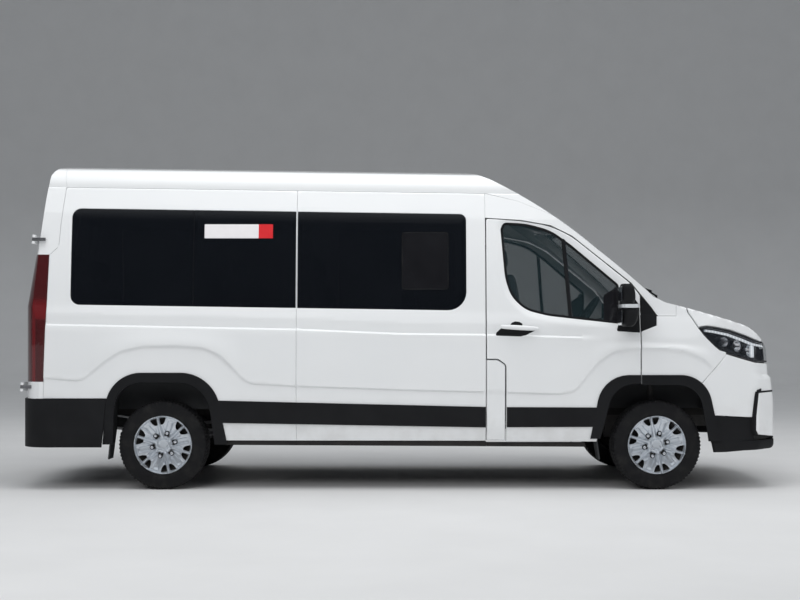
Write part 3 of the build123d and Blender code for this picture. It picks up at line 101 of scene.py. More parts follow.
def tube(path, radius, steps=10, scale=(1.0, 1.0)):
    """Closed tube along a path: a circle in the plane square to the path at each of its points.
    radius is one number or one for each point. Returns points and faces."""
    path = np.asarray(path, dtype=float)
    ahead = np.gradient(path, axis=0)
    ahead /= np.linalg.norm(ahead, axis=1)[:, None]
    up = np.where(np.abs(ahead[:, 2:3]) > 0.9, [[1.0, 0.0, 0.0]], [[0.0, 0.0, 1.0]])
    side = np.cross(ahead, up)
    side /= np.linalg.norm(side, axis=1)[:, None]
    above = np.cross(side, ahead)
    angle = np.arange(steps) * 2 * math.pi / steps
    radius = np.broadcast_to(np.asarray(radius, dtype=float), (len(path),))[:, None, None]
    points = path[:, None, :] + radius * (scale[0] * np.cos(angle)[None, :, None] * side[:, None, :]
                                          + scale[1] * np.sin(angle)[None, :, None] * above[:, None, :])
    faces = grid_faces(len(path), steps, round_columns=True).tolist()
    faces.append(list(range(steps)))
    faces.append(list(range(len(path) * steps - 1, (len(path) - 1) * steps - 1, -1)))
    return points.reshape(-1, 3), faces


print("lathe and tube ready")

# %% [markdown]
# ## Join and mirror
# A van is the same on both sides but for a few pieces. A mirror modifier would repeat everything, so each
# piece is made once, on the right, and its twin comes from a change of sign. The twin's faces are read
# backwards, or they would look inwards.

# %% Pieces together, their twins, and boxes with chamfers
def gather(*pieces):
    """Several (points, faces) pairs as one pair."""
    points, faces, start = [], [], 0
    for some_points, some_faces in pieces:
        points.append(np.asarray(some_points))
        faces += [[int(i) + start for i in face] for face in some_faces]
        start += len(some_points)
    return np.concatenate(points), faces


def turned_in(piece):
    """The same piece on the other side of the vehicle: y changes sign and each face is read backwards."""
    points, faces = piece
    return np.asarray(points) * [1, -1, 1], [list(reversed(list(face))) for face in faces]


def both_sides(*pieces):
    """Right-hand pieces and their mirror images on the left, as one pair."""
    return gather(*pieces, *[turned_in(piece) for piece in pieces])


SIDES = (("right", lambda piece: piece), ("left", turned_in))


def box_piece(x, y, z, bevel=0.004):
    """Box with chamfered edges, from its ranges: the 24 points are the 8 corners moved in by the bevel on
    two of the three axes at a time."""
    lo, hi = np.array([x[0], y[0], z[0]]), np.array([x[1], y[1], z[1]])
    signs = np.array([(i, j, k) for i in (0, 1) for j in (0, 1) for k in (0, 1)])
    corners = lo + signs * (hi - lo)
    inward = np.where(signs == 0, bevel, -bevel)
    points = np.concatenate([corners + inward * np.array(keep) for keep in ((0, 1, 1), (1, 0, 1), (1, 1, 0))])

    def at(axis, i, j, k):
        return axis * 8 + i * 4 + j * 2 + k

    faces = []
    for s in (0, 1):
        quads = ([at(0, s, 0, 0), at(0, s, 0, 1), at(0, s, 1, 1), at(0, s, 1, 0)],
                 [at(1, 0, s, 0), at(1, 1, s, 0), at(1, 1, s, 1), at(1, 0, s, 1)],
                 [at(2, 0, 0, s), at(2, 0, 1, s), at(2, 1, 1, s), at(2, 1, 0, s)])
        faces += [quad if s == 0 else quad[::-1] for quad in quads]
    for a in (0, 1):
        for b in (0, 1):
            flip = (a + b) % 2 == 1
            edges = ([at(0, a, b, 0), at(1, a, b, 0), at(1, a, b, 1), at(0, a, b, 1)],
                     [at(0, a, 0, b), at(0, a, 1, b), at(2, a, 1, b), at(2, a, 0, b)],
                     [at(1, 0, a, b), at(2, 0, a, b), at(2, 1, a, b), at(1, 1, a, b)])
            faces += [edge[::-1] if flip else edge for edge in edges]
    for i, j, k in signs:
        corner = [at(0, i, j, k), at(1, i, j, k), at(2, i, j, k)]
        faces.append(corner if (i + j + k) % 2 == 1 else corner[::-1])
    return points, faces


print("mesh helpers ready")

# %% [markdown]
# ## Shader maths as sentences
# Node trees are easier to read as sums. `Value` wraps one socket, and + - * / on it add Math nodes, so
# `0.3 + 0.2 * mask` is a sentence that builds its own nodes. Any other node comes from `Paint.node`.

# %% A small language for materials
class Value:
    """One output socket, with arithmetic that adds Math nodes."""

    def __init__(self, paint, socket):
        self.paint = paint
        self.socket = socket

    def maths(self, operation, *others, swap=False):
        terms = [self, *others]
        if swap:
            terms = terms[::-1]
        return self.paint.node("Math", {"operation": operation}, dict(enumerate(terms)))

    def __add__(self, other): return self.maths("ADD", other)
    def __radd__(self, other): return self.maths("ADD", other)
    def __sub__(self, other): return self.maths("SUBTRACT", other)
    def __rsub__(self, other): return self.maths("SUBTRACT", other, swap=True)
    def __mul__(self, other): return self.maths("MULTIPLY", other)
    def __rmul__(self, other): return self.maths("MULTIPLY", other)
    def sine(self): return self.maths("SINE")

    def step(self, low, high):
        """0 below low, 1 above high, smooth between."""
        return self.paint.node("MapRange", {"interpolation_type": "SMOOTHSTEP"},
                               {"Value": self, "From Min": low, "From Max": high})


print("values can be added and multiplied")

# %% The material writer
class Paint:
    """A material being written: a Principled shader and the nodes that feed it."""

    def __init__(self, name, **constants):
        self.material = bpy.data.materials.new(name)
        self.material.use_nodes = True
        self.tree = self.material.node_tree
        self.tree.nodes.clear()
        self.shader = self.tree.nodes.new("ShaderNodeBsdfPrincipled")
        output = self.tree.nodes.new("ShaderNodeOutputMaterial")
        self.tree.links.new(self.shader.outputs[0], output.inputs[0])
        self.set(**constants)

    def feed(self, socket, value):
        if isinstance(value, Value):
            self.tree.links.new(value.socket, socket)
        elif hasattr(value, "__len__") and socket.type == "RGBA" and len(value) == 3:
            socket.default_value = (*value, 1.0)
        else:
            socket.default_value = value

    def node(self, kind, settings=None, inputs=None, out=0):
        """Add a node: its settings first, then the values or links of its sockets."""
        made = self.tree.nodes.new("ShaderNode" + kind)
        for key, value in (settings or {}).items():
            setattr(made, key, value)
        for key, value in (inputs or {}).items():
            self.feed(made.inputs[key], value)
        return Value(self, made.outputs[out])

    def place(self):
        """The point on the piece as three values, and as a vector."""
        where = self.node("TexCoord", out=3)
        return [self.node("SeparateXYZ", None, {0: where}, out) for out in (0, 1, 2)] + [where]

    def noise(self, scale, detail=3.0, roughness=0.55, stretch=(1, 1, 1)):
        """Cloudy noise from 0 to 1 on object coordinates; stretch pulls it out along an axis."""
        where = self.node("Mapping", None, {"Vector": self.place()[3], "Scale": stretch})
        return self.node("TexNoise", None, {"Vector": where, "Scale": scale, "Detail": detail,
                                            "Roughness": roughness})

    def blend(self, mask, low, high):
        """Colour mix: low where mask is 0, high where it is 1."""
        return self.node("Mix", {"data_type": "RGBA"}, {0: mask, 6: low, 7: high}, 2)

    def bump(self, height, depth):
        """Bump from a height value; depth in metres."""
        self.set(Normal=self.node("Bump", None, {"Strength": 1.0, "Distance": depth, "Height": height}))

    def set(self, **values):
        """Feed sockets of the shader by name, with _ for a space, and give the material."""
        for key, value in values.items():
            self.feed(self.shader.inputs[key.replace("_", " ")], value)
        return self.material


def dress(material, *names):
    """Give CAD solids this material in every slot."""
    for name in names:
        mesh = nodes[name].data
        mesh.materials.clear()
        mesh.materials.append(material)


print("shader language ready")

# %% [markdown]
# ## Finishes
# The van wears few finishes, and each has a scale of its own. The paint is gloss white under a clear coat,
# with a trace of orange peel, and a little road film low down on the sills. The black trims are grained
# polypropylene. Glass is dark or clear film over a glossy sheet. Rubber, bare castings and the fabric inside
# are rougher, and carry finer noise.

# %% Painted and moulded outside finishes
def white_paint():
    paint = Paint("white_paint", IOR=1.5, Coat_Weight=1.0, Coat_Roughness=0.04)
    height = paint.place()[2]
    film = (1 - height.step(0.30, 0.85)) * paint.noise(6.0).step(0.35, 0.75)
    cloud = paint.noise(2.2, 2.0)
    white = paint.blend(cloud, (0.76, 0.775, 0.785), (0.80, 0.81, 0.815))
    paint.bump(paint.noise(420.0, 1.0), 0.00003)
    return paint.set(Base_Color=paint.blend(0.22 * film, white, (0.36, 0.34, 0.31)), Roughness=0.30 + 0.25 * film)


def black_plastic(name="black_plastic", dark=(0.006, 0.0062, 0.007), light=(0.014, 0.0145, 0.016), rough=0.5):
    paint = Paint(name, IOR=1.46, Specular_IOR_Level=0.22)
    grain = paint.noise(900.0, 2.0)
    fade = paint.noise(5.0, 3.0)
    paint.bump(grain, 0.00012)
    return paint.set(Base_Color=paint.blend(fade, dark, light), Roughness=rough + 0.18 * grain)


def gloss_black():
    paint = Paint("gloss_black", IOR=1.5, Coat_Weight=0.6, Coat_Roughness=0.05)
    smear = paint.noise(9.0, 4.0)
    return paint.set(Base_Color=paint.blend(smear, (0.006, 0.006, 0.007), (0.014, 0.014, 0.016)),
                     Roughness=0.10 + 0.10 * smear)


WHITE = white_paint()
BLACK = black_plastic()
GLOSS_BLACK = gloss_black()
print("outside finishes:", WHITE.name, BLACK.name, GLOSS_BLACK.name)

# %% [markdown]
# ## Glass and lenses
# Clear plastic and glass could refract, but one thin sheet hardly bends a view and costs many samples. So a
# pane is a glossy film that lets part of the view through. Lenses add fine ribs as bump, and colour.

# %% Glass, lenses and label film
def glass(name, tint, alpha, rough=0.02):
    """A sheet of tinted glass: a glossy dark film that lets part of the view through."""
    paint = Paint(name, IOR=1.45, Alpha=alpha, Coat_Weight=0.5, Coat_Roughness=0.0)
    wave = paint.noise(3.0, 1.0)
    paint.bump(wave, 0.0004)
    paler = tuple(min(1.0, c * 1.3 + 0.002) for c in tint)
    return paint.set(Base_Color=paint.blend(wave, tint, paler), Roughness=rough + 0.02 * wave)


def red_lens():
    """Dark red tail lamp lens: fine level flutes, and upright light guides that show as paler lines."""
    paint = Paint("red_lens", IOR=1.5, Coat_Weight=1.0, Coat_Roughness=0.02)
    _, y, z, _ = paint.place()
    guide = (y * 55.0).sine().step(0.75, 0.95)
    paint.bump((z * 900.0).sine(), 0.0002)
    return paint.set(Base_Color=paint.blend(guide, (0.055, 0.002, 0.003), (0.13, 0.004, 0.006)),
                     Roughness=0.12 + 0.05 * (z * 40.0).sine())


def ribbed_lens(name, axis, waves, dark, light, rough, glow=None, **constants):
    """Pale moulded lens with fine ribs: a sine along one axis, 0 x or 1 y. glow is its pair of light colours."""
    paint = Paint(name, IOR=1.5, Coat_Weight=1.0, **constants)
    ribs = (paint.place()[axis] * waves).sine() * 0.5 + 0.5
    paint.bump(ribs, 0.0004)
    if glow:
        paint.set(Emission_Color=paint.blend(ribs, *glow))
    return paint.set(Base_Color=paint.blend(ribs, dark, light), Roughness=rough + 0.1 * ribs)


def label_film(name, dark, light):
    """Matt film of one plain colour that fades a little."""
    paint = Paint(name, IOR=1.45)
    fade = paint.noise(12.0, 3.0)
    return paint.set(Base_Color=paint.blend(fade, dark, light), Roughness=0.35 + 0.15 * fade)


TINTED = glass("tinted_glass", (0.004, 0.005, 0.007), 0.84)
CLEAR = glass("clear_glass", (0.02, 0.035, 0.04), 0.32)
LENS = glass("lamp_lens", (0.05, 0.06, 0.075), 0.10)
RED = red_lens()
LIGHT_WHITE = ribbed_lens("light_bar", 0, 260.0, (0.72, 0.76, 0.80), (0.88, 0.90, 0.92), 0.2,
                          ((0.5, 0.55, 0.6), (0.9, 0.95, 1.0)), Emission_Strength=0.35)
REPEATER = ribbed_lens("repeater_lens", 1, 700.0, (0.42, 0.44, 0.46), (0.62, 0.64, 0.66), 0.15)
print("glass finishes ready")

# %% [markdown]
# ## Metals and rubber
# Bare metal is told from paint by what it does to light, so each has its own Metallic and Roughness, and
# noise for wear. Rubber is rough and a little dusty.

# %% Metals, rubber and underbody
def metal(name, dark, light, rough, scale=40.0, metallic=1.0, depth=0.0001):
    paint = Paint(name, Metallic=metallic)
    patch = paint.noise(scale, 4.0)
    paint.bump(paint.noise(scale * 8, 2.0), depth)
    return paint.set(Base_Color=paint.blend(patch, dark, light), Roughness=rough + 0.2 * patch)


def tyre_rubber():
    paint = Paint("tyre_rubber", IOR=1.5, Specular_IOR_Level=0.25)
    dust = paint.noise(14.0, 4.0).step(0.45, 0.8)
    paint.bump(paint.noise(700.0, 2.0), 0.0002)
    return paint.set(Base_Color=paint.blend(dust, (0.007, 0.007, 0.008), (0.020, 0.0195, 0.019)),
                     Roughness=0.66 + 0.15 * dust)


WHEEL_SILVER = metal("wheel_silver", (0.66, 0.70, 0.75), (0.70, 0.74, 0.79), 0.24, 20.0, 0.85, 0.000005)
STEEL = metal("worn_steel", (0.20, 0.20, 0.21), (0.42, 0.42, 0.43), 0.35)
CAST = metal("cast_iron", (0.05, 0.05, 0.052), (0.12, 0.115, 0.11), 0.55, 30.0, 0.6, 0.0008)
CHROME = metal("bright_chrome", (0.75, 0.76, 0.78), (0.85, 0.86, 0.88), 0.06, 8.0, 1.0, 0.00001)
MIRROR = metal("mirror_glass", (0.78, 0.80, 0.82), (0.84, 0.86, 0.87), 0.01, 3.0, 1.0, 0.000005)
UNDERBODY = black_plastic("underbody_coat", (0.010, 0.010, 0.011), (0.045, 0.042, 0.04), 0.62)
RUBBER = tyre_rubber()
print("metals and rubber ready")

# %% [markdown]
# ## Inside finishes
# Cloth is a weave: two crossed sine ripples, too fine to see but not too fine to soften a highlight. Floor
# covering and dashboard are felt-like or grained plastics.

# %% Inside finishes
def seat_cloth():
    """Woven seat cloth: warp and weft as two crossed sine ripples, with a fine fleck."""
    paint = Paint("seat_cloth", Sheen_Weight=0.25)
    x, y, z, _ = paint.place()
    weave = (((x + z) * 3100.0).sine() * (y * 3100.0).sine()) * 0.5 + 0.5
    fleck = paint.noise(160.0, 2.0).step(0.62, 0.70)
    wear = paint.noise(7.0, 3.0)
    paint.bump(weave, 0.0004)
    cloth = paint.blend(weave * 0.6 + 0.4 * wear, (0.022, 0.024, 0.030), (0.060, 0.063, 0.072))
    return paint.set(Base_Color=paint.blend(0.6 * fleck, cloth, (0.12, 0.14, 0.20)), Roughness=0.86 + 0.1 * wear)


def lining(name, dark, light):
    paint = Paint(name, IOR=1.45)
    felt = paint.noise(260.0, 3.0)
    paint.bump(felt, 0.0003)
    return paint.set(Base_Color=paint.blend(paint.noise(4.0), dark, light), Roughness=0.75 + 0.2 * felt)


CLOTH = seat_cloth()
DASH = lining("dash_plastic", (0.018, 0.019, 0.021), (0.035, 0.036, 0.038))
FLOORING = lining("floor_covering", (0.03, 0.032, 0.035), (0.07, 0.072, 0.075))
LINING = lining("grey_lining", (0.30, 0.31, 0.32), (0.38, 0.385, 0.39))
print("inside finishes ready")

# %% [markdown]
# ## Dress the solids
# Most hidden solids already have the right shape, so they only need a finish.

# %% Materials on the solids
def starting(*words):
    return [name for name in nodes if name.startswith(words)]


dress(WHITE, *starting("side_panel", "mid_panel", "sliding_door", "door_front", "rear_door"))
dress(WHITE, "roof_panel", "rear_frame", "cab_frame", "front_wings", "bonnet", "front_bumper", "fuel_flap")
dress(BLACK, "side_trims", "scuttle_trims", "rear_bumper", "front_lower_bumper", "grille", *starting("door_trim"))
dress(TINTED, "side_glass", *starting("rear_glass"))
dress(CLEAR, "windscreen", *starting("door_glass"))
dress(RED, "tail_lamps")
dress(LENS, "headlamps")
dress(UNDERBODY, "chassis", "front_subframe", "fuel_tank")
dress(CAST, "engine_block", "rear_axle", *starting("knuckle"))
dress(STEEL, "propshaft", "leaf_springs", "exhaust", "door_hinges")
dress(FLOORING, "floor_pan")
dress(DASH, "dashboard", "steering_wheel")
dress(CLOTH, "cab_seats", "passenger_seats")
dress(RUBBER, *starting("tyre_"))
dress(WHEEL_SILVER, *starting("rim_"))
dress(LINING, *starting("number_plate"))
print("dressed", len(nodes), "solids")

# %% [markdown]
# ## The body as one formula
# A van's side is a cross-section pushed along its length, rounded in plan at the nose and the tail. Each of
# those forms gives a half width at a place (x, z), and the body is the smallest of them. So one function
# answers "how far out is the skin here", and every side panel, window and crease uses it.

# %% Half width of the body
SLOPE = math.tan(math.radians(0.85))                # fall of the side's lines towards the front
BOW_X = -1.5                                        # axis that the nose and screen are bowed about
KNEE, LEAN, TAIL_X = 1.390, 160 / 920, -2.860       # height where the tail starts to lean, its slope, and its foot
SOFTEN = 0.002                                      # k of the softened least of the four forms


def arc_through(a, b, c, steps=14):
    """Points on the circle through a, b and c. Its centre solves two equal-distance equations, and the
    points are at equal angles from a to c."""
    a, b, c = (np.asarray(p, dtype=float) for p in (a, b, c))
    matrix = 2 * np.array([b - a, c - b])
    centre = np.linalg.solve(matrix, [b @ b - a @ a, c @ c - b @ b])
    start, middle, end = (math.atan2(*(p - centre)[::-1]) for p in (a, b, c))
    turn = (end - start + math.pi) % (2 * math.pi) - math.pi
    if not (0 <= ((middle - start) / turn if turn else 0) % (2 * math.pi / abs(turn)) <= 1):
        turn -= math.copysign(2 * math.pi, turn)
    angle = start + np.linspace(0, 1, steps) * turn
    return centre + np.linalg.norm(a - centre) * np.stack([np.cos(angle), np.sin(angle)], axis=1)


def line_of(points, arcs=()):
    """Straight runs in millimetres, with an arc over each listed point, as metres."""
    made, i = [np.array([points[0]], dtype=float)], 0
    while i < len(points) - 1:
        if i + 1 in arcs:
            made.append(arc_through(points[i], points[i + 1], points[i + 2])[1:])
            i += 2
        else:
            made.append(np.array([points[i + 1]], dtype=float))
            i += 1
    return np.concatenate(made) / 1000


print("fall of the side's lines in mm per metre:", round(SLOPE * 1000, 1))

# %% [markdown]
# ## Four lines hold the form
# A body designer fixes a few lines first: the cross-section, the plan at the tail and at the nose, and the
# front seen from the side. They are typed here as corner points in millimetres. An arc goes over each listed
# point, so the line bends like sheet steel and not like a folded card.

# %% Section, plans and front
section = line_of([(960, 60), (992, 380), (1014, 500), (1022, 720), (1022, 1180), (1002, 1310), (992, 1365),
                   (962, 1720), (922, 2075), (878, 2266), (866, 2274), (844, 2366), (751, 2430), (400, 2483),
                   (0, 2500)], (7, 11, 13))
tail_plan = line_of([(-2860, 0), (-2860, 852), (-2812, 974), (-2685, 1028), (3300, 1028)], (2,))
nose_plan = line_of([(-3300, 1027), (1955, 1027), (2440, 994), (2720, 927), (2860, 807), (3300, 122)], (2,))
front_line = line_of([(150, 2508), (520, 2478), (852, 2375), (1234, 2152), (1633, 1846), (1850, 1664), (2062, 1471),
                      (2154, 1424), (2440, 1346), (2708, 1262), (2829, 1185), (2900, 1076), (2936, 669), (2936, 100)],
                     (1, 3, 5, 8, 10))


print("points of the lines:", len(section), len(tail_plan), len(nose_plan), len(front_line))

# %% [markdown]
# ## The plain body
# The smallest of the four half widths would leave a knife edge where two forms meet. Real panels are
# rounded there by a few millimetres, so the least is softened a little.

# %% Half width of the plain body
def grids(x, z):
    """Both as float arrays of one shape."""
    return np.broadcast_arrays(np.asarray(x, dtype=float), np.asarray(z, dtype=float))


def front_reach(z):
    """Distance from the bow axis to the front line at a height."""
    return np.interp(-z, -front_line[:, 1], front_line[:, 0]) - BOW_X


def base_width(x, z):
    """Half width of the plain body: the softened smallest of the section, the bowed nose, and the two
    plan curves, where softmin(a) = -k log(sum(exp(-a / k)))."""
    x, z = grids(x, z)
    by_section = np.interp(z + x * SLOPE, section[:, 1], section[:, 0])
    by_nose = np.where(x < 0.15, 2.0, np.sqrt(np.maximum(front_reach(z) ** 2 - (x - BOW_X) ** 2, 0)))
    lean = np.maximum(0, z - KNEE) * LEAN
    by_tail = np.interp(x - lean, tail_plan[:, 0], tail_plan[:, 1])
    by_plan = np.interp(x, nose_plan[:, 0], nose_plan[:, 1])
    widths = np.stack([by_section, by_nose, by_tail, by_plan])
    least = widths.min(axis=0)
    return least - SOFTEN * np.log(np.exp(-(widths - least) / SOFTEN).sum(axis=0))


print("plain half width at mid length, z = 1.0 m:", round(float(base_width(0.0, 1.0)), 4))

# %% [markdown]
# ## Crease and waist channel
# Large flat sheets of steel would drum and look slack, so lines are pressed into them. A lower crease climbs
# over each wheel arch, and a channel runs under the windows. They could be sculpted. As distances added to
# the half width, they run on across every shut line without a step.

# %% Half width of the dressed side
def ease(t):
    """0 below 0, 1 above 1, with level ends: 3 t^2 - 2 t^3."""
    t = np.clip(t, 0, 1)
    return t * t * (3 - 2 * t)


crease = np.array([  # x and height of the lower body crease, which climbs over both arches
    (-2.90, 0.872), (-2.42, 0.838), (-2.375, 0.862), (-2.25, 0.982), (-2.12, 1.062), (-1.95, 1.100), (-1.70, 1.104),
    (-1.49, 1.090), (-1.37, 1.040), (-1.27, 0.950), (-1.21, 0.865), (-1.13, 0.815), (-0.79, 0.796), (0.00, 0.768),
    (0.66, 0.752), (1.22, 0.736), (1.33, 0.760), (1.42, 0.880), (1.50, 0.985), (1.62, 1.062), (1.78, 1.080),
    (1.96, 1.080), (2.16, 1.060), (2.31, 1.000), (2.42, 0.890), (2.50, 0.760), (2.9, 0.60)])
waist_low = np.array([(-2.70, 1.264), (-0.772, 1.226), (0.0, 1.193), (0.66, 1.187), (1.60, 1.160), (2.2, 1.13)])


def smooth_line(table, x):
    """Height of a line at x: straight between the table's points, averaged over 60 mm for round bends."""
    shifts = np.linspace(-0.03, 0.03, 7)
    return np.mean([np.interp(x + s, table[:, 0], table[:, 1]) for s in shifts], axis=0)


def side_width(x, z):
    """Half width of the dressed side: the plain body, plus a shoulder of 9 to 15 mm that grows down to the
    crease and turns in under it, less the waist channel, whose face leans in over 72 mm and comes out
    again over 14 mm."""
    x, z = grids(x, z)
    width = base_width(x, z)
    line = smooth_line(crease, x)
    steep = np.gradient(crease[:, 1], crease[:, 0])
    below = (line - z) / np.hypot(1, np.interp(x, crease[:, 0], steep))
    on_arch = ease((line - 0.86) / 0.12)
    shoulder = 0.009 + 0.006 * on_arch
    low = smooth_line(waist_low, x)
    rise = ease((low - 0.02 - z) / np.maximum(low - 0.02 - line, 0.05))
    fade = ease((2.52 - x) / 0.25)
    width = width + fade * shoulder * (rise * (1 - ease(below / (0.014 + 0.014 * on_arch))))
    t = z - low
    channel = np.where(t > 0, 1 - t / 0.072, 1 + t / 0.014)
    ends = ease((1.62 - x) / 0.45) * ease((x + 2.70) / 0.02)
    return width - 0.016 * np.clip(channel, 0, 1) * ends


print("half width at mid length, z = 1.0 m:", round(float(side_width(0.0, 1.0)), 4))

# %% [markdown]
# ## Panels cut from the body
# A pressed panel is a sheet cut to an outline, with its edge folded back. Blender could cut it with
# booleans, which leave ragged triangles. Instead the outline and a grid of points inside it are joined by a
# triangulation that respects the outline, and only then is the flat pattern laid on the body. The edge
# is rolled in over a few millimetres, which gives each shut line its soft highlight.

# %% Outlines and panels
def rounded(points, radii, steps=8):
    """Closed outline in metres from corners in millimetres: each corner with a radius becomes an arc
    that touches both sides."""
    points = np.asarray(points, dtype=float) / 1000
    made = []
    for i, corner in enumerate(points):
        radius = radii[i] / 1000 if i < len(radii) else 0
        before = points[i - 1] - corner
        after = points[(i + 1) % len(points)] - corner
        before, after = before / np.linalg.norm(before), after / np.linalg.norm(after)
        half = math.acos(np.clip(before @ after, -1, 1)) / 2
        if radius < 1e-6 or half > math.radians(89):
            made.append(corner[None])
            continue
        reach = radius / math.tan(half)
        start, end = corner + before * reach, corner + after * reach
        bisector = (before + after) / np.linalg.norm(before + after)
        middle = corner + bisector * (radius / math.sin(half) - radius)
        made.append(arc_through(start, middle, end, steps))
    return np.concatenate(made)


def inside(points, outline):
    """True where a point is in the closed outline: an upward ray crosses an odd number of edges."""
    a, b = outline, np.roll(outline, -1, axis=0)
    x, z = points[:, 0:1], points[:, 1:2]
    spans = (a[:, 0] > x) != (b[:, 0] > x)
    slope = (b[:, 1] - a[:, 1]) / np.where(b[:, 0] == a[:, 0], 1e-12, b[:, 0] - a[:, 0])
    return (spans & (z < a[:, 1] + (x - a[:, 0]) * slope)).sum(axis=1) % 2 == 1


def distance(points, outline):
    """Distance from each point to the nearest edge of a closed outline."""
    a, b = outline, np.roll(outline, -1, axis=0)
    run = b - a
    share = np.clip(((points[:, None, :] - a) * run).sum(-1) / np.maximum((run ** 2).sum(-1), 1e-12), 0, 1)
    return np.linalg.norm(points[:, None, :] - (a + share[..., None] * run), axis=-1).min(axis=1)


def walk(outline, spacing):
    """The outline with extra points, so that no run is longer than spacing."""
    made = []
    for a, b in zip(outline, np.roll(outline, -1, axis=0)):
        count = max(1, int(np.ceil(np.linalg.norm(b - a) / spacing)))
        made.append(a + (b - a) * (np.arange(count) / count)[:, None])
    made = np.concatenate(made)
    keep = np.linalg.norm(made - np.roll(made, 1, axis=0), axis=1) > 1e-5
    return made[keep]


print("outline tools ready")

# %% [markdown]
# ## Flat patterns
# A pattern needs few triangles on calm sheet and rows of small ones where light breaks: near the edges,
# along the crease and along the channel. A plain square grid would make those highlights look ragged.

# %% Triangles for a pattern
def side_rows():
    """Rows of pattern points that run along the crease and the channel, so that their highlights stay even."""
    x = np.arange(-2.69, 2.51, 0.015)
    line, low = smooth_line(crease, x), smooth_line(waist_low, x)
    rows = [line - drop for drop in (0.0, 0.007, 0.014, 0.022, 0.034)]
    rows += [low + rise for rise in (-0.014, 0.0, 0.072)]
    return [np.stack([x, row], axis=1) for row in rows]


def flat_pattern(outline, holes=(), spacing=0.02, edge=0.004, lines=()):
    """Triangles that fill an outline less its holes: the outlines are edges, with rows of points a
    little inside them, the points of any lines given, and a grid beyond."""
    rings = [walk(ring, spacing) for ring in (outline, *holes)]
    rims = np.concatenate(rings)
    low, high = outline.min(axis=0), outline.max(axis=0)
    across, up = (np.arange(low[i], high[i], spacing) for i in (0, 1))
    grid = np.stack(np.meshgrid(across, up), -1).reshape(-1, 2)
    rows = []
    for ring in rings:
        ahead = np.roll(ring, -1, axis=0) - np.roll(ring, 1, axis=0)
        across = np.stack([-ahead[:, 1], ahead[:, 0]], axis=1) / np.linalg.norm(ahead, axis=1)[:, None]
        rows += [ring + across * side * edge * share for side in (1, -1) for share in (0.3, 1.0, 2.2)]
    near = np.concatenate(rows)

    def gap(points):
        return np.min([distance(points, ring) for ring in rings], axis=0)

    def within(points):
        in_hole = sum((inside(points, hole) for hole in rings[1:]), np.zeros(len(points), bool))
        return inside(points, rings[0]) & ~in_hole

    near = near[within(near)]
    near = near[gap(near) > edge * 0.25]
    grid = grid[within(grid)]
    grid = grid[gap(grid) > edge * 2.2 + spacing * 0.4]
    if len(lines):
        off = [np.abs(grid[:, 1] - np.interp(grid[:, 0], line[:, 0], line[:, 1])) for line in lines]
        along = np.concatenate(lines)
        along = along[within(along)]
        along = along[gap(along) > edge * 2.2 + 0.002]
        grid = np.concatenate([grid[np.min(off, axis=0) > spacing * 0.4], along])
    points = np.concatenate([rims, near, grid])
    edges, start = [], 0
    for ring in rings:
        count = len(ring)
        edges += [(start + i, start + (i + 1) % count) for i in range(count)]
        start += count
    flat, _, triangles, *_ = delaunay_2d_cdt([Vector(p) for p in points.tolist()], edges, [], 0, 1e-6)
    flat, triangles = np.array([tuple(p) for p in flat]), np.array(triangles)
    centres = flat[triangles].mean(axis=1)
    return flat, triangles[within(centres)], gap(flat)


print("pattern tools ready")

# %% [markdown]
# ## From pattern to pressing
# A sheet has two faces and a rim. Blender's solidify modifier offsets along normals, which pinches at tight
# corners. Here both faces come from their own formula, and the rim joins the pattern's open edges.

# %% Pressed panels
def closed_sheet(outer, inner, triangles, outward):
    """Outer and inner faces joined by a rim. The triangles are turned so that the outer face looks along
    outward, which is one direction or one for each point."""
    a, b, c = (outer[triangles[:, i]] for i in range(3))
    ahead = np.broadcast_to(outward, outer.shape)[triangles[:, 0]]
    right_way = (np.cross(b - a, c - a) * ahead).sum(axis=1) > 0
    triangles = np.where(right_way[:, None], triangles, triangles[:, ::-1])
    edges = np.concatenate([triangles[:, [0, 1]], triangles[:, [1, 2]], triangles[:, [2, 0]]])
    count = len(outer)
    _, first, uses = np.unique(edges.min(axis=1) * count + edges.max(axis=1), return_index=True, return_counts=True)
    rim = edges[first[uses == 1]]
    faces = triangles.tolist() + (triangles[:, ::-1] + count).tolist()
    faces += np.stack([rim[:, 1], rim[:, 0], rim[:, 0] + count, rim[:, 1] + count], axis=1).tolist()
    return np.concatenate([outer, inner]), faces


def rolled(gap, roll):
    """How far the skin has turned in at this distance from its edge."""
    short = np.clip(1 - gap / roll, 0, 1)
    return roll * (1 - np.sqrt(1 - short ** 2 * 0.98))


def pressing(outline, holes, face, depth, spacing=0.02, roll=0.004, inner_face=base_width, lines=()):
    """A closed panel on the right side. Each pattern point (x, z) goes to y = -face(x, z), rolled in at
    the edges by r (1 - sqrt(1 - (1 - d / r)^2)) for a distance d to the edge; the inner face is depth
    inside inner_face, and the rim joins both."""
    flat, triangles, gap = flat_pattern(outline, holes, spacing, roll, lines)
    outer = np.stack([flat[:, 0], -(face(flat[:, 0], flat[:, 1]) - rolled(gap, roll)), flat[:, 1]], axis=1)
    inner = np.stack([flat[:, 0], -(inner_face(flat[:, 0], flat[:, 1]) - depth), flat[:, 1]], axis=1)
    inner[:, 1] = np.maximum(inner[:, 1], outer[:, 1] + 0.001)
    return closed_sheet(outer, inner, triangles, [0.0, -1.0, 0.0])


def plating(outline, holes, out, depth, spacing=0.02, roll=0.004, face=base_width):
    """A thin pressing that lies out beyond a face, with its back at one depth behind its own front."""
    def moved(x, z):
        return face(x, z) + out

    return pressing(outline, holes, moved, depth, spacing, roll, moved)


print("panel tools ready")

# %% [markdown]
# ## Side panels
# The fixed side is two pressings, with one long window strip let into them. The left side is the same
# but for the sliding door. The wheel arch is part of each outline, so its lip is rolled in like any edge.

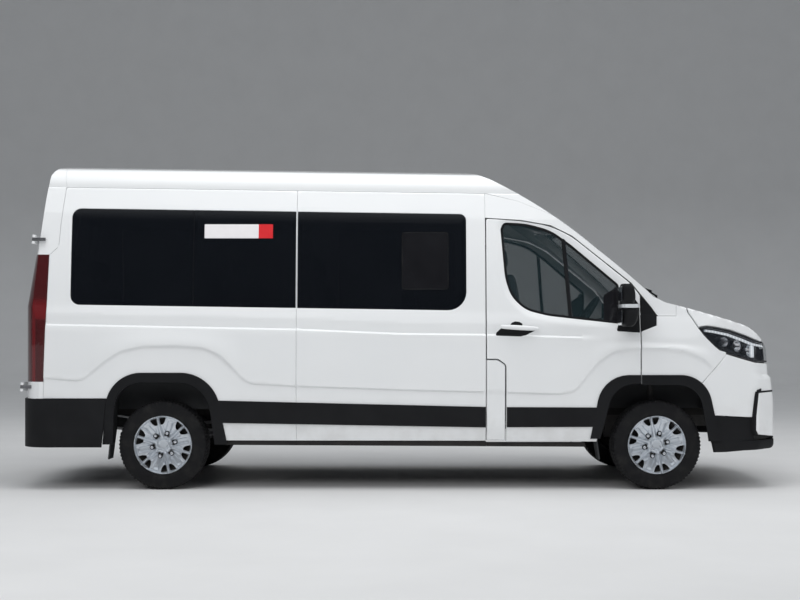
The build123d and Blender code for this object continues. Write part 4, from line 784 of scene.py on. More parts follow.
# %% Outlines of the side, in millimetres
def raked(x, z):
    """Height at x of a body line that is z high at mid length."""
    return z - x * SLOPE


def top_at(x):
    """Height of the gutter."""
    return raked(x, 2273.5)


rear_arch = [(-2160, 695), (-2152, 818), (-1462, 818), (-1412, 376)]
rear_side = rounded([(-787.5, top_at(-787)), (-2560, top_at(-2560)), (-2590, 2019), (-2602, 1850), (-2665, 1792),
                     (-2672, 1790), (-2700, 822), (-2702, 695), *rear_arch, (-787.5, 375)],
                    [0, 0, 0, 60, 30, 0, 0, 0, 0, 200, 240])
mid_side = rounded([(-786.5, 375), (650, 374), (650, top_at(650)), (-786.5, top_at(-787))], [])
slider_hole = rounded([(-645, 430), (600, 415), (600, 2185), (-645, 2205)], [60, 60, 60, 60])
slider = rounded([(-641, 434), (596, 419), (596, 2181), (-641, 2201)], [56, 56, 56, 56])
STRIP_LOW, STRIP_TOP = 1370, 2109


def strip(rear, front, radii):
    """Window strip between two places along the body: low rear, low front, top front, top rear."""
    return rounded([(rear, raked(rear, STRIP_LOW)), (front, raked(front, STRIP_LOW)),
                    (front, raked(front, STRIP_TOP)), (rear, raked(rear, STRIP_TOP))], radii)


rear_strip = strip(-2505, -793, [70, 4, 4, 70])
mid_strip = strip(-781, 505, [4, 140, 50, 4])
slider_strip = strip(-560, 505, [45, 140, 50, 45])
WALL_DEEP = 0.058
ROWS = side_rows()
side_right = pressing(rear_side, [rear_strip], side_width, WALL_DEEP, lines=ROWS)
mid_right = pressing(mid_side, [mid_strip], side_width, WALL_DEEP, lines=ROWS)
mid_left = pressing(mid_side, [slider_hole], side_width, WALL_DEEP, lines=ROWS)
slide_left = pressing(slider, [slider_strip], side_width, WALL_DEEP, lines=ROWS)
print("side patterns:", [len(piece[0]) for piece in (side_right, mid_right, mid_left, slide_left)])

# %% Build the side panels
def place(piece, name, body, material, *stands_for):
    """Mesh object with its finish, standing for CAD solids."""
    thing = mesh_object(name, *piece, body)
    thing.data.materials.append(material)
    if stands_for:
        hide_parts(*stands_for)
    return thing


place(side_right, "rear_side_skin_right", "body", WHITE, "side_panel_right")
place(turned_in(side_right), "rear_side_skin_left", "body", WHITE, "side_panel_left")
place(mid_right, "mid_side_skin_right", "body", WHITE, "mid_panel_right")
place(turned_in(mid_left), "mid_side_skin_left", "body", WHITE, "mid_panel_left")
place(turned_in(slide_left), "sliding_door_skin", "body", WHITE, "sliding_door_left")
print("side skins built, sill line at x = 0:", raked(0, 375) / 1000, "m")

# %% [markdown]
# ## Side glass
# The long strip is dark glass bonded behind the skin, almost flush. Each pane is a pressing too, with the
# skin's own curve set back by 3 mm. A black enamel border hides the glue, and narrow rubber strips close
# the joints between panes.

# %% Panes, enamel borders and joints
def set_back(face, amount):
    """The same face, moved inwards."""
    return lambda x, z: face(x, z) - amount


def pane(outline):
    """Glass 3 mm behind the skin."""
    return pressing(outline, [], set_back(side_width, 0.003), 0.008, 0.05, 0.0015)


def shrink(outline, amount):
    """The outline moved inwards by amount, along the mean of its edge normals."""
    ahead = np.roll(outline, -1, axis=0) - np.roll(outline, 1, axis=0)
    normal = np.stack([-ahead[:, 1], ahead[:, 0]], axis=1) / np.maximum(np.linalg.norm(ahead, axis=1), 1e-9)[:, None]
    trial = outline + normal * 0.001
    sign = 1.0 if inside(trial, outline).mean() > 0.5 else -1.0
    return outline + sign * normal * amount


def border(outline, width=0.030, back=0.0092):
    """Frame of black enamel behind a pane: the outline less the same outline moved in."""
    return pressing(outline, [shrink(outline, width)], set_back(side_width, back), back + 0.002, 0.05, 0.0008)


panes = [strip(-2504, -1576, [69, 4, 4, 69]), strip(-1572, -794, [4, 4, 4, 4]), strip(-780, 504, [4, 139, 49, 4])]
panes_left = panes[:2] + [strip(-559, 504, [44, 139, 49, 44])]


def glaze(make):
    """Pieces for the right panes, and for the left ones turned in."""
    return gather(*[make(outline) for outline in panes], *[turned_in(make(outline)) for outline in panes_left])


place(glaze(pane), "side_panes", "body", TINTED, "side_glass")
place(glaze(border), "enamel_borders", "body", GLOSS_BLACK)
joint_low, joint_top = raked(-1574, STRIP_LOW + 3), raked(-1574, STRIP_TOP - 3)
joint_line = rounded([(-1575.5, joint_low), (-1572.5, joint_low), (-1572.5, joint_top), (-1575.5, joint_top)], [])
joint = pressing(joint_line, [], set_back(side_width, 0.0035), 0.009, 0.05, 0.0004)
place(both_sides(joint), "pane_joints", "body", BLACK)
print("panes and borders made")

# %% [markdown]
# ## Front doors
# A cab door has the deepest drawing of the side: a bevel round the window lets the glass sit 10 mm in,
# the wheel arch bites its lower front corner, and on the right the fuel flap takes a notch at its rear edge.

# %% Door skins
window_line = rounded([(768, 1985), (800, 1610), (845, 1470), (955, 1365), (1130, 1322), (1665, 1262), (1665, 1560),
                       (1300, 1870), (1150, 1978), (960, 2030), (790, 2038)],
                      [40, 500, 250, 250, 600, 8, 40, 1000, 400, 600, 40])
BEVEL = 0.010


def door_width(x, z):
    """Side width with the skin let in by a bevel towards the window: the last 40 mm fall by 10 mm."""
    x, z = grids(x, z)
    flat = np.stack([x.ravel(), z.ravel()], axis=1)
    away = np.where(inside(flat, window_line), 0.0, distance(flat, window_line)).reshape(x.shape)
    return side_width(x, z) - BEVEL * (1 - ease(away / 0.040))


door_line = [(1492, 368), (1624, 807), (1823, 807), (1823, 1478), (1757, 1566), (1310, 1928), (1147, 2010),
             (919, 2050), (658, 2066)]
door_radii = [0, 180, 0, 20, 400, 600, 600, 900, 16]
left_door = rounded([(658, 372), *door_line], [12, *door_radii])
flap_notch = [(658, 996), (744, 996), (806, 951), (806, 369)]
right_door = rounded([*door_line, *flap_notch], [*door_radii, 4, 30, 40, 0])
flap_line = rounded([(658, 380), (795, 380), (795, 945), (737, 985), (658, 985)], [6, 4, 34, 24, 4])
door_right = pressing(right_door, [window_line], door_width, WALL_DEEP, lines=ROWS)
door_left = pressing(left_door, [window_line], door_width, WALL_DEEP, lines=ROWS)
place(door_right, "door_skin_right", "door_front_right", WHITE, "door_front_right")
place(turned_in(door_left), "door_skin_left", "door_front_left", WHITE, "door_front_left")
flap = pressing(flap_line, [], side_width, 0.013, 0.02, 0.003)
place(flap, "fuel_flap_skin", "fuel_flap", WHITE, "fuel_flap")
print("door patterns:", len(door_right[0]), len(door_left[0]))

# %% Door glass, its seal and the upright bar
door_pane = pressing(shrink(window_line, 0.001), [], set_back(base_width, 0.013), 0.018, 0.05, 0.0015)
seal = pressing(window_line, [shrink(window_line, 0.018)], set_back(base_width, 0.0105), 0.020, 0.03, 0.002)


def upright(x_top, x_low, z_top, z_low, width):
    """Slim bar over the glass, leaning forward as it goes down."""
    return rounded([(x_top, z_top), (x_top + width, z_top), (x_low + width, z_low), (x_low, z_low)], [])


bar = pressing(upright(1232, 1282, 1912, 1312, 26), [], set_back(base_width, 0.0095), 0.020, 0.03, 0.002)
bright = pressing(upright(1259, 1309, 1905, 1315, 4), [], set_back(base_width, 0.0090), 0.018, 0.03, 0.001)
for side, turn in SIDES:
    body = "door_front_" + side
    place(turn(door_pane), "door_pane_" + side, body, CLEAR, "door_glass_" + side)
    place(turn(gather(seal, bar)), "window_seal_" + side, body, BLACK)
    place(turn(bright), "window_bar_trim_" + side, body, CHROME)
print("door glass made")

# %% [markdown]
# ## Wheels
# A tyre is a profile turned round an axis, and its tread is a ripple on that same surface: the radius
# drops where a groove runs. The wheel cover is a disc with twelve windows. It is cut like a body panel,
# from a flat pattern, and then dished by a height that depends on the radius and the angle.

# %% Tyre with tread
AXLES = {"front": 1.955, "rear": -1.805}
WHEEL_Y, TYRE_R = 0.868, 0.340


def tyre_surface(steps=288):
    """Tyre about the origin, axis along y: radius(w, a) follows the profile, less 7 mm in three ring
    grooves and 5 mm in the cross cuts of the shoulders, which repeat 72 times round."""
    outer = np.concatenate([np.linspace(-0.082, 0.082, 33), [0.090, 0.098, 0.104, 0.109, 0.112, 0.113, 0.112, 0.109,
                            0.107, 0.106, 0.101, 0.098, 0.096]])
    outer_r = np.concatenate([0.3400 - 0.0030 * np.linspace(-1, 1, 33) ** 2, [0.3358, 0.332, 0.326, 0.316, 0.300, 0.280,
                              0.262, 0.246, 0.243, 0.236, 0.226, 0.2185, 0.213]])
    along = np.concatenate([outer, -outer[:32:-1]])
    radius = np.concatenate([outer_r, outer_r[:32:-1]])
    angle = np.arange(steps) * 2 * math.pi / steps
    w, a = np.meshgrid(along, angle, indexing="ij")
    r = np.broadcast_to(radius[:, None], w.shape).copy()
    tread = r > 0.330
    rings = np.min([np.abs(w - c) for c in (-0.052, -0.017, 0.017, 0.052)], axis=0) < 0.0045
    pitch = a * 72 / (2 * math.pi)
    phase = (pitch + 0.25 * np.sign(w)) % 1
    cuts = (np.abs(w) > 0.056) & (phase < 0.26)
    middle_cuts = (np.abs(w) < 0.050) & ((pitch + np.abs(w) * 14) % 1 < 0.24)
    r = r - 0.007 * (tread & rings) - 0.005 * (tread & cuts & ~rings) - 0.003 * (tread & middle_cuts & ~rings)
    shoulder = (r > 0.314) & (np.abs(w) > 0.100) & (phase < 0.30)
    r = r - 0.007 * shoulder
    points = np.stack([r * np.cos(a), w, r * np.sin(a)], axis=-1).reshape(-1, 3)
    return points, grid_faces(len(along), steps, round_rows=True, round_columns=True)[:, ::-1]


tyre_points, tyre_faces = tyre_surface()
for end, x in AXLES.items():
    for side, sign in (("right", -1), ("left", 1)):
        tyre = mesh_object(f"tread_tyre_{end}_{side}", tyre_points + [x, sign * WHEEL_Y, TYRE_R], tyre_faces,
                           f"wheel_{end}_{side}", 28)
        tyre.data.materials.append(RUBBER)
        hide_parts(f"tyre_{end}_{side}")
print("tyre points:", len(tyre_points))

# %% Wheel cover
SPOKES, RIB_TURN, NUT_TURN = 6, 42, 13


def ring(radius, count, centre=(0, 0)):
    """Circle in the wheel's plane, as count points."""
    angle = np.arange(count) * 2 * math.pi / count
    return np.stack([centre[0] + radius * np.cos(angle), centre[1] + radius * np.sin(angle)], axis=1)


def window(spoke, side):
    """One opening beside a thin rib: corners in millimetres before turning, the rib along +x."""
    corners = rounded([(153, 11.5), (204, 13), (200, 63), (170, 47), (153, 30)], [7, 3, 6, 14, 12], 5)
    corners = corners * [1, side]
    turn = math.radians(60 * spoke + RIB_TURN)
    return corners @ np.array([[math.cos(turn), math.sin(turn)], [-math.sin(turn), math.cos(turn)]])


def cover_height(x, z):
    """Dish of the cover, outwards from the wheel's middle plane: a ring, a shallow cone to the hub, raised
    ribs, hollows beside the wide spokes' edges, and a domed cap."""
    r, a = np.hypot(x, z), np.arctan2(z, x) - math.radians(RIB_TURN)
    to_rib = np.abs((a + math.pi / SPOKES) % (2 * math.pi / SPOKES) - math.pi / SPOKES)
    off_rib = r * np.sin(np.minimum(to_rib, math.pi / 2))
    to_spoke = math.pi / SPOKES - to_rib
    off_spoke = r * np.sin(to_spoke)
    height = 0.074 + 0.012 * ease((r - 0.06) / 0.13)
    height = height + 0.013 * (1 - ease((off_rib - 0.004) / 0.009)) * ease((r - 0.045) / 0.03)
    long_hollow = ease((r - 0.055) / 0.02) * (1 - ease((r - 0.180) / 0.02))
    height = height - 0.013 * (1 - ease((off_spoke - 0.012) / 0.012)) * long_hollow
    short_hollow = ease((0.012 - np.abs(off_rib - 0.024)) / 0.008) * ease((r - 0.05) / 0.03)
    height = height - 0.008 * short_hollow * (1 - ease((r - 0.13) / 0.03))
    height = height + 0.010 * (1 - ease((r - 0.040) / 0.006)) - 0.004 * (1 - ease((r - 0.030) / 0.004))
    return height + 0.020 * ease((r - 0.2055) / 0.009) - 0.004 * ease((r - 0.219) / 0.004)


NUT_CIRCLE = 0.091
nut_turns = [math.radians(60 * k + NUT_TURN) for k in range(SPOKES)]
nut_places = [(NUT_CIRCLE * math.cos(turn), NUT_CIRCLE * math.sin(turn)) for turn in nut_turns]
windows = [window(spoke, side) for spoke in range(SPOKES) for side in (1, -1)]
nut_holes = [ring(0.0185, 20, centre) for centre in nut_places]
print("windows and nut places:", len(windows), len(nut_places))

# %% Cut and dish the cover
cover = pressing(ring(0.2225, 132), windows + nut_holes, cover_height, 0.004, 0.006, 0.0018, cover_height)
print("cover points:", len(cover[0]))

# %% [markdown]
# ## Behind the cover
# The steel rim shows through the cover's windows, and six nuts hold the wheel on. Both are turned forms, and
# the nut's first rings are hexagons. One set is made about the origin and copied to the four hubs.

# %% Rim, nuts and hub behind the cover
rim_profile = [(-0.094, 0.2125), (-0.070, 0.207), (0.040, 0.203), (0.078, 0.207), (0.094, 0.2135), (0.096, 0.218),
               (0.0925, 0.219), (0.089, 0.2165), (0.074, 0.2035), (0.062, 0.196), (0.050, 0.188), (0.030, 0.150),
               (0.048, 0.120), (0.062, 0.080), (0.062, 0.012), (0.056, 0.012), (0.056, 0.078), (0.040, 0.118),
               (0.022, 0.150), (0.040, 0.190), (0.030, 0.196), (-0.060, 0.200), (-0.092, 0.207)]
rim = lathe(rim_profile, (0, 0, 0), (0, -1, 0), 96)


def nut(centre):
    """Six-sided nut with a domed cap: rings of twelve points that shrink along its axis. The first three are
    hexagons, where every second point is pulled in."""
    profile = np.array([(0.056, 0.0115), (0.074, 0.0115), (0.076, 0.0100), (0.079, 0.0085), (0.0815, 0.005),
                        (0.082, 0.0005)])
    angle = np.arange(12) * math.pi / 6
    hexagon = np.where(np.arange(12) % 2 == 0, 1.0, 0.89)
    shape = 1.15 * np.where(np.arange(len(profile))[:, None] < 3, hexagon[None], 0.9)
    points = np.stack([centre[0] + profile[:, 1:2] * shape * np.cos(angle),
                       np.broadcast_to(-profile[:, 0:1], shape.shape),
                       centre[1] + profile[:, 1:2] * shape * np.sin(angle)], axis=-1).reshape(-1, 3)
    faces = grid_faces(len(profile), 12, round_columns=True)[:, ::-1].tolist()
    faces += [list(range(len(points) - 12, len(points)))[::-1], list(range(12))]
    return points, faces


nuts = gather(*[nut(centre) for centre in nut_places])
for end, x in AXLES.items():
    for side, sign in (("right", -1), ("left", 1)):
        body, centre = f"wheel_{end}_{side}", np.array([x, 0, TYRE_R])
        for (points, faces), name, material, *stands_for in (
                (cover, "wheel_cover", WHEEL_SILVER), (rim, "steel_rim", UNDERBODY, f"rim_{end}_{side}"),
                (nuts, "wheel_nuts", CHROME)):
            moved = (points + centre - [0, WHEEL_Y, 0], faces)
            place(turned_in(moved) if sign > 0 else moved, f"{name}_{end}_{side}", body, material, *stands_for)
print("wheels made")

# %% [markdown]
# ## The nose
# The nose bends two ways at once, so a flat side pattern no longer fits. Its panels are cast instead: from
# points on an axis inside the body, rays go out until the body formula says they have reached the skin.
# Wings and bonnet use rays square to the length, lamps and bumper use rays in plan. Each pattern is drawn in
# the angles of the rays, and the same triangulation fills it.

# %% Rays from inside
def halve(low, high, is_within):
    """Where each value in an array stops being within, by halving the range between low and high 34 times."""
    for _ in range(34):
        middle = (low + high) / 2
        within = is_within(middle)
        low, high = np.where(within, middle, low), np.where(within, high, middle)
    return low


def reach_skin(origin, ray):
    """Distance along each ray to the skin: a point is inside while |y| < base_width(x, z)."""
    def is_within(reach):
        point = origin + ray * reach[:, None]
        ahead = point[:, 0] < np.interp(-point[:, 2], -front_line[:, 1], front_line[:, 0])
        return ahead & (np.abs(point[:, 1]) < base_width(point[:, 0], point[:, 2]))

    return halve(np.zeros(len(ray)), np.full(len(ray), 2.2), is_within)


sideways = reach_skin(np.array([[0, 0, 1.0]]), np.array([[0, -1.0, 0]]))
print("reach to the right at z = 1.0 m:", round(float(sideways[0]), 4))

# %% Two fans of rays, and points of the body in their angles
AXIS_Z, AXIS_X = 0.75, 1.90


def across_rays(flat):
    """Pattern (x, v): the ray leaves (x, 0, 0.75) at the angle v above level, towards the right."""
    x, angle = flat[:, 0], flat[:, 1]
    origin = np.stack([x, 0 * x, 0 * x + AXIS_Z], axis=1)
    return origin, np.stack([0 * x, -np.cos(angle), np.sin(angle)], axis=1)


def plan_rays(flat):
    """Pattern (v, z): the ray leaves (1.90, 0, z) level, at the angle v from straight right to ahead."""
    angle, z = flat[:, 0], flat[:, 1]
    origin = np.stack([0 * z + AXIS_X, 0 * z, z], axis=1)
    return origin, np.stack([np.sin(angle), -np.cos(angle), 0 * z], axis=1)


def to_across(points):
    """Side points (x, z) in millimetres as (x, v)."""
    x, z = np.asarray(points, dtype=float).T / 1000
    return np.stack([x, np.arctan2(z - AXIS_Z, base_width(x, z))], axis=1)


def plan_to_across(points):
    """Plan points (x, distance from the middle) in millimetres, on the upper skin, as (x, v)."""
    x, y = np.asarray(points, dtype=float).T / 1000
    z = halve(np.full(len(x), AXIS_Z), np.full(len(x), 2.0), lambda z: np.abs(y) < base_width(x, z))
    return np.stack([x, np.arctan2(z - AXIS_Z, y)], axis=1)


def to_plan(points):
    """Side points (x, z) in millimetres as (v, z)."""
    x, z = np.asarray(points, dtype=float).T / 1000
    return np.stack([np.arctan2(x - AXIS_X, base_width(x, z)), z], axis=1)


def nose_front(y, z):
    """x of the bowed front at a distance y from the middle."""
    return BOW_X + np.sqrt(front_reach(z) ** 2 - y ** 2)


def front_to_plan(points):
    """Front points (distance from the middle, z) in millimetres as (v, z)."""
    y, z = np.asarray(points, dtype=float).T / 1000
    return np.stack([np.arctan2(nose_front(y, z) - AXIS_X, y), z], axis=1)


print("ray fans ready")

# %% Cast panels
def corner_arcs(points, radii, steps=5):
    """An outline in ray angles with its corners rounded; the radii are in thousandths."""
    return rounded(np.asarray(points) * 1000, radii, steps)


def cast_panel(outline, holes, rays, out=0.0, depth=0.02, spacing=0.02, roll=0.004, relief=None):
    """A closed panel whose pattern is in ray angles: the outer face is out beyond the skin plus relief(points),
    rolled in at its edges like a pressing, and the inner face is depth further in."""
    flat, triangles, gap = flat_pattern(outline, holes, spacing, roll)
    origin, ray = rays(flat)
    reach = reach_skin(origin, ray)
    extra = 0 if relief is None else relief(origin + ray * reach[:, None])
    top = reach + out + extra - rolled(gap, roll)
    inner = origin + ray * np.minimum(reach + out - depth, top - 0.001)[:, None]
    return closed_sheet(origin + ray * top[:, None], inner, triangles, ray)


print("nose tools ready")

# %% [markdown]
# ## Wings
# The wing climbs from the arch to the bonnet's edge. It could be a flat pressing like the doors but for its
# top, which turns over towards the bonnet, so it is cast. It carries the arch's crease as a relief of a few
# millimetres.

# %% Wings
def side_relief(points):
    """The same shoulder and channel as the doors, as a distance beyond the plain body."""
    x, z = points[:, 0], points[:, 2]
    steep = ease((1.40 - points[:, 2]) / 0.12)
    return steep * (side_width(x, z) - base_width(x, z))


seam_side = np.array([(2268, 1236), (2226, 1302), (2192, 1352)])       # the bonnet's side of the seam
wing = np.concatenate([to_across([(1831, 806), (1831, 1204.5), (1945.5, 1249.5), (1948.5, 1322), (2096.5, 1322)]),
                       plan_to_across([(2104.5, 806), (2130, 858), (2160, 930)]),
                       to_across(seam_side[::-1] - [8, 5]),
                       to_across([(2300, 1178), (2327, 1150), (2389, 1090), (2427, 1060), (2477, 1047), (2477, 1025),
                                  (2288, 813), (2252, 806)])])
wing_right = cast_panel(wing, [], across_rays, 0.0, 0.022, 0.015, 0.004, side_relief)
for side, turn in SIDES:
    place(turn(wing_right), "wing_skin_" + side, "body", WHITE, "front_wings")
print("wing points:", len(wing_right[0]))

# %% [markdown]
# ## Bonnet
# The bonnet is one symmetrical sheet with a low bulge that stiffens it and clears the engine. Its seam with
# each wing is the wing's own line, moved by 8 mm, so the gap stays even.

# %% Outline and bulge of the bonnet
low_edge = np.array([(2276, 1244), (2328, 1251), (2389, 1244), (2508, 1221), (2630, 1180), (2712, 1148), (2765, 1128)])


def front_edge(y_mm):
    """The bonnet's front edge over the lamps and grille as (x, v), for distances from the middle: its height
    falls slowly towards the middle."""
    y = np.asarray(y_mm, dtype=float) / 1000
    z = 1.098 + 0.030 * (np.abs(y) / 0.8) ** 2
    return np.stack([nose_front(y, z), np.arctan2(z - AXIS_Z, y)], axis=1)


right_part = np.concatenate([plan_to_across([(2112, 0), (2112, 400), (2112, 784), (2146, 846), (2176, 920)])[1:],
                             to_across(seam_side[::-1]), to_across(low_edge), front_edge(np.linspace(780, 0, 14))])
left_part = right_part[:-1][::-1] * [1, -1] + [0, math.pi]
bonnet_line = np.concatenate([right_part, left_part])


def bonnet_relief(points):
    """A low power bulge: two soft ridges that run down the bonnet and fade at its front."""
    x, y = points[:, 0], np.abs(points[:, 1])
    ridge = 0.62 - 0.22 * ease((x - 2.1) / 0.8)
    fade = ease((2.86 - x) / 0.35) * ease((x - 2.10) / 0.12)
    return 0.006 * (1 - ease((y - ridge + 0.05) / 0.07)) * fade


bonnet_skin = cast_panel(bonnet_line, [], across_rays, 0.0, 0.020, 0.015, 0.004, bonnet_relief)
place(bonnet_skin, "bonnet_skin", "bonnet", WHITE, "bonnet")
print("bonnet points:", len(bonnet_skin[0]))

# %% [markdown]
# ## Screen enamel
# A windscreen is glued in, and a border of black enamel keeps sunlight off the glue. It is a frame less than
# 3 mm thick that lies on the glass.

# %% Enamel round the windscreen
screen_line = rounded([(-850, 1466), (850, 1466), (697, 2058), (-697, 2058)], [44, 44, 72, 72])
flat, triangles, _ = flat_pattern(screen_line, [shrink(screen_line, 0.034)], 0.04, 0.003)
screen_face = np.stack([nose_front(flat[:, 0], flat[:, 1]) + 0.0004, flat[:, 0], flat[:, 1]], axis=1)
enamel_screen = closed_sheet(screen_face, screen_face - [0.0025, 0, 0], triangles, [1.0, 0.0, 0.0])
place(enamel_screen, "windscreen_enamel", "body", GLOSS_BLACK)
print("enamel points:", len(enamel_screen[0]))

# %% [markdown]
# ## Headlamps
# A lamp is a black bowl set 70 mm into the nose, three bright reflectors, a white light bar that follows the
# upper edge, and a clear cover that continues the skin.

# %% Lamp bowl, reflectors, light bar and cover
lamp_top_side = np.array([(2262, 1230), (2328, 1241), (2389, 1234), (2508, 1211), (2630, 1169), (2712, 1137)])
lamp_low_side = np.array([(2712, 975), (2630, 997), (2508, 1032), (2427, 1062), (2389, 1092), (2327, 1152)])
lamp_line = np.concatenate([to_plan(lamp_top_side), front_to_plan([(770, 1112), (690, 1101), (612, 1094), (612, 962),
                                                                   (690, 960), (780, 963)]), to_plan(lamp_low_side)])
lamp_line = corner_arcs(lamp_line, [10, 0, 0, 0, 0, 0, 0, 0, 24, 24])


def lamp_ring(amount):
    """The lamp's outline moved in."""
    return shrink(walk(lamp_line, 0.02), amount)


frame_piece = cast_panel(lamp_line, [lamp_ring(0.014)], plan_rays, -0.002, 0.026, 0.02, 0.003)
wall = cast_panel(lamp_ring(0.003), [lamp_ring(0.010)], plan_rays, -0.016, 0.080, 0.02, 0.002)
back_plate = cast_panel(lamp_ring(0.003), [], plan_rays, -0.082, 0.012, 0.02, 0.002)
cover_glass = cast_panel(lamp_ring(0.002), [], plan_rays, 0.001, 0.003, 0.02, 0.002)
bar_line = np.concatenate([to_plan(lamp_top_side[1:] - [0, 22]),
                           front_to_plan([(770, 1090), (700, 1082), (700, 1066), (770, 1073)]),
                           to_plan(lamp_top_side[1:][::-1] - [4, 40])])
light_bar = cast_panel(bar_line, [], plan_rays, -0.018, 0.020, 0.02, 0.004)
tail_line = corner_arcs(to_plan([(2700, 1098), (2722, 1090), (2722, 1000), (2700, 1008)]), [4, 4, 4, 4], 3)
light_tail = cast_panel(tail_line, [], plan_rays, -0.018, 0.020, 0.02, 0.004)
place(both_sides(frame_piece, wall, back_plate), "lamp_bowls", "body", GLOSS_BLACK, "headlamps")
place(both_sides(light_bar, light_tail), "light_bars", "body", LIGHT_WHITE)
print("lamp shell made")

# %% [markdown]
# ## Reflectors
# Each of the three bowls throws its light in its own direction, so they are turned forms about three axes,
# with a dark glass bead in the middle.

# %% Reflectors, beads and covers
def reflector(x, z, inward, radius, ahead):
    """Deep bright bowl with a glass bead in its middle, facing the direction ahead."""
    ahead = np.asarray(ahead, dtype=float) / np.linalg.norm(ahead)
    middle = np.array([x, -float(base_width(x, z)), z]) - ahead * inward
    bowl = [(0.030, radius), (0.030, radius - 0.003), (0.012, radius * 0.82), (-0.006, radius * 0.5),
            (-0.012, radius * 0.25), (-0.013, 0.0005), (-0.017, 0.0005), (-0.016, radius * 0.28),
            (-0.009, radius * 0.56), (0.012, radius * 0.9)]
    bead = [(-0.012, 0.0005), (-0.012, radius * 0.42), (0.002, radius * 0.42), (0.010, radius * 0.30),
            (0.014, radius * 0.12), (0.015, 0.0005)]
    return lathe(bowl, middle, ahead, 40), lathe(bead, middle, ahead, 32)


bowls, beads = zip(reflector(2.475, 1.128, 0.052, 0.040, (0.45, -0.88, 0.1)),
                   reflector(2.585, 1.096, 0.056, 0.047, (0.62, -0.77, 0.08)),
                   reflector(2.690, 1.058, 0.062, 0.043, (0.80, -0.60, 0.05)))
place(both_sides(*bowls), "lamp_reflectors", "body", CHROME)
place(both_sides(*beads), "lamp_beads", "body", GLOSS_BLACK)
place(both_sides(cover_glass), "lamp_covers", "body", LENS)
print("headlamps made")

# %% [markdown]
# ## Bumper and grille
# The bumper's side is one calm sheet from the lamp to the dark lower corner. At the front it frames two
# openings. The upper one holds the grille bars. The lower one is a wide intake between two upright cheeks,
# which stand proud of the face.

# %% Bumper skin, cheeks and lower corner
def mirror_line(line):
    """A right half outline from the middle (or from its inner end) and back, joined to its mirror image."""
    return np.concatenate([line, (line * [-1, 1] + [math.pi, 0])[::-1]])


bumper_half = np.concatenate([
    front_to_plan([(300, 897), (604, 900), (604, 953), (690, 951), (780, 954)]),
    to_plan([(2712, 966), (2630, 988), (2508, 1023), (2485, 1030), (2477, 1018), (2296, 812), (2262, 800), (2318, 745),
             (2350, 566), (2425, 565), (2671, 550)]),
    front_to_plan([(770, 560), (730, 620), (700, 745), (600, 760)])])


def bumper_relief(points):
    """The face stands up to 22 mm proud below a soft shelf under the lamps, and it fades along the side."""
    x, z = points[:, 0], points[:, 2]
    front = ease((x - 2.62) / 0.22)
    return front * 0.022 * (1 - ease((z - 0.845) / 0.030))


bumper_skin = cast_panel(mirror_line(bumper_half), [], plan_rays, 0.0, 0.022, 0.025, 0.005, bumper_relief)
place(bumper_skin, "bumper_skin", "body", WHITE, "front_bumper")
print("bumper points:", len(bumper_skin[0]))

# %% Cheeks and the painted shadow in the gap round them
cheek_half = np.concatenate([front_to_plan([(480, 430), (570, 470), (596, 700), (640, 744), (760, 746)]),
                             to_plan([(2716, 738), (2696, 560), (2694, 452), (2712, 414)]),
                             front_to_plan([(730, 388), (500, 384)])])
cheek_line = mirror_line(cheek_half)
cheeks = cast_panel(cheek_line, [], plan_rays, 0.026, 0.060, 0.025, 0.010)
place(cheeks, "bumper_cheeks", "body", WHITE)
cheek_walk = walk(cheek_line, 0.03)
# A black band round each cheek is painted shadow in its gap. A small patch at each cheek's top corner is painted shade
# under the bumper's overhang.
cheek_shade_band = cast_panel(shrink(cheek_walk, -0.009), [shrink(cheek_walk, 0.004)], plan_rays, 0.0255, 0.05, 0.02, 0.001)
corner_shade_patch = cast_panel(to_plan([(2720, 756), (2720, 738), (2748, 742), (2748, 768)]), [], plan_rays, 0.0236, 0.05,
                         0.02, 0.001)
place(gather(cheek_shade_band, corner_shade_patch, turned_in(corner_shade_patch)), "cheek_painted_shade", "body", BLACK)
print("cheek points:", len(cheeks[0]))

# %% Dark corners and lower lip
corner_half = to_plan([(2368, 562), (2425, 562), (2671, 546), (2690, 540), (2686, 452), (2702, 408), (2716, 370),
                       (2600, 358), (2376, 358)])
corner_dark = cast_panel(corner_half, [], plan_rays, -0.003, 0.024, 0.025, 0.004)
lip_half = np.concatenate([front_to_plan([(400, 377), (740, 380)]),
                           to_plan([(2690, 372), (2560, 368), (2376, 368), (2396, 285), (2480, 287), (2630, 297)]),
                           front_to_plan([(760, 305), (500, 288)])])


def lip_relief(points):
    """The lip stands 30 mm proud at the front and fades along the side and towards its foot."""
    return 0.030 * ease((points[:, 0] - 2.55) / 0.25) * ease((points[:, 2] - 0.285) / 0.05)


lip = cast_panel(mirror_line(lip_half), [], plan_rays, 0.0, 0.024, 0.025, 0.006, lip_relief)
place(gather(lip, corner_dark, turned_in(corner_dark)), "lower_bumper_skin", "body", BLACK, "front_lower_bumper")
print("lip points:", len(lip[0]))

# %% [markdown]
# ## Grille and intake
# Both openings are a dark back wall with level bars before it. The bars follow the bow of the nose, so each
# is a narrow strip of the same skin, set back a little.

# %% Bars, frames and back walls
def face_bar(half, low, high, out, depth, roll=0.004):
    """Bar across the front: a strip of the skin between two heights, out to this distance from the middle."""
    line = mirror_line(front_to_plan([(half * 0.55, high), (half, high), (half, low), (half * 0.55, low)]))
    return cast_panel(line, [], plan_rays, out, depth, 0.03, roll)


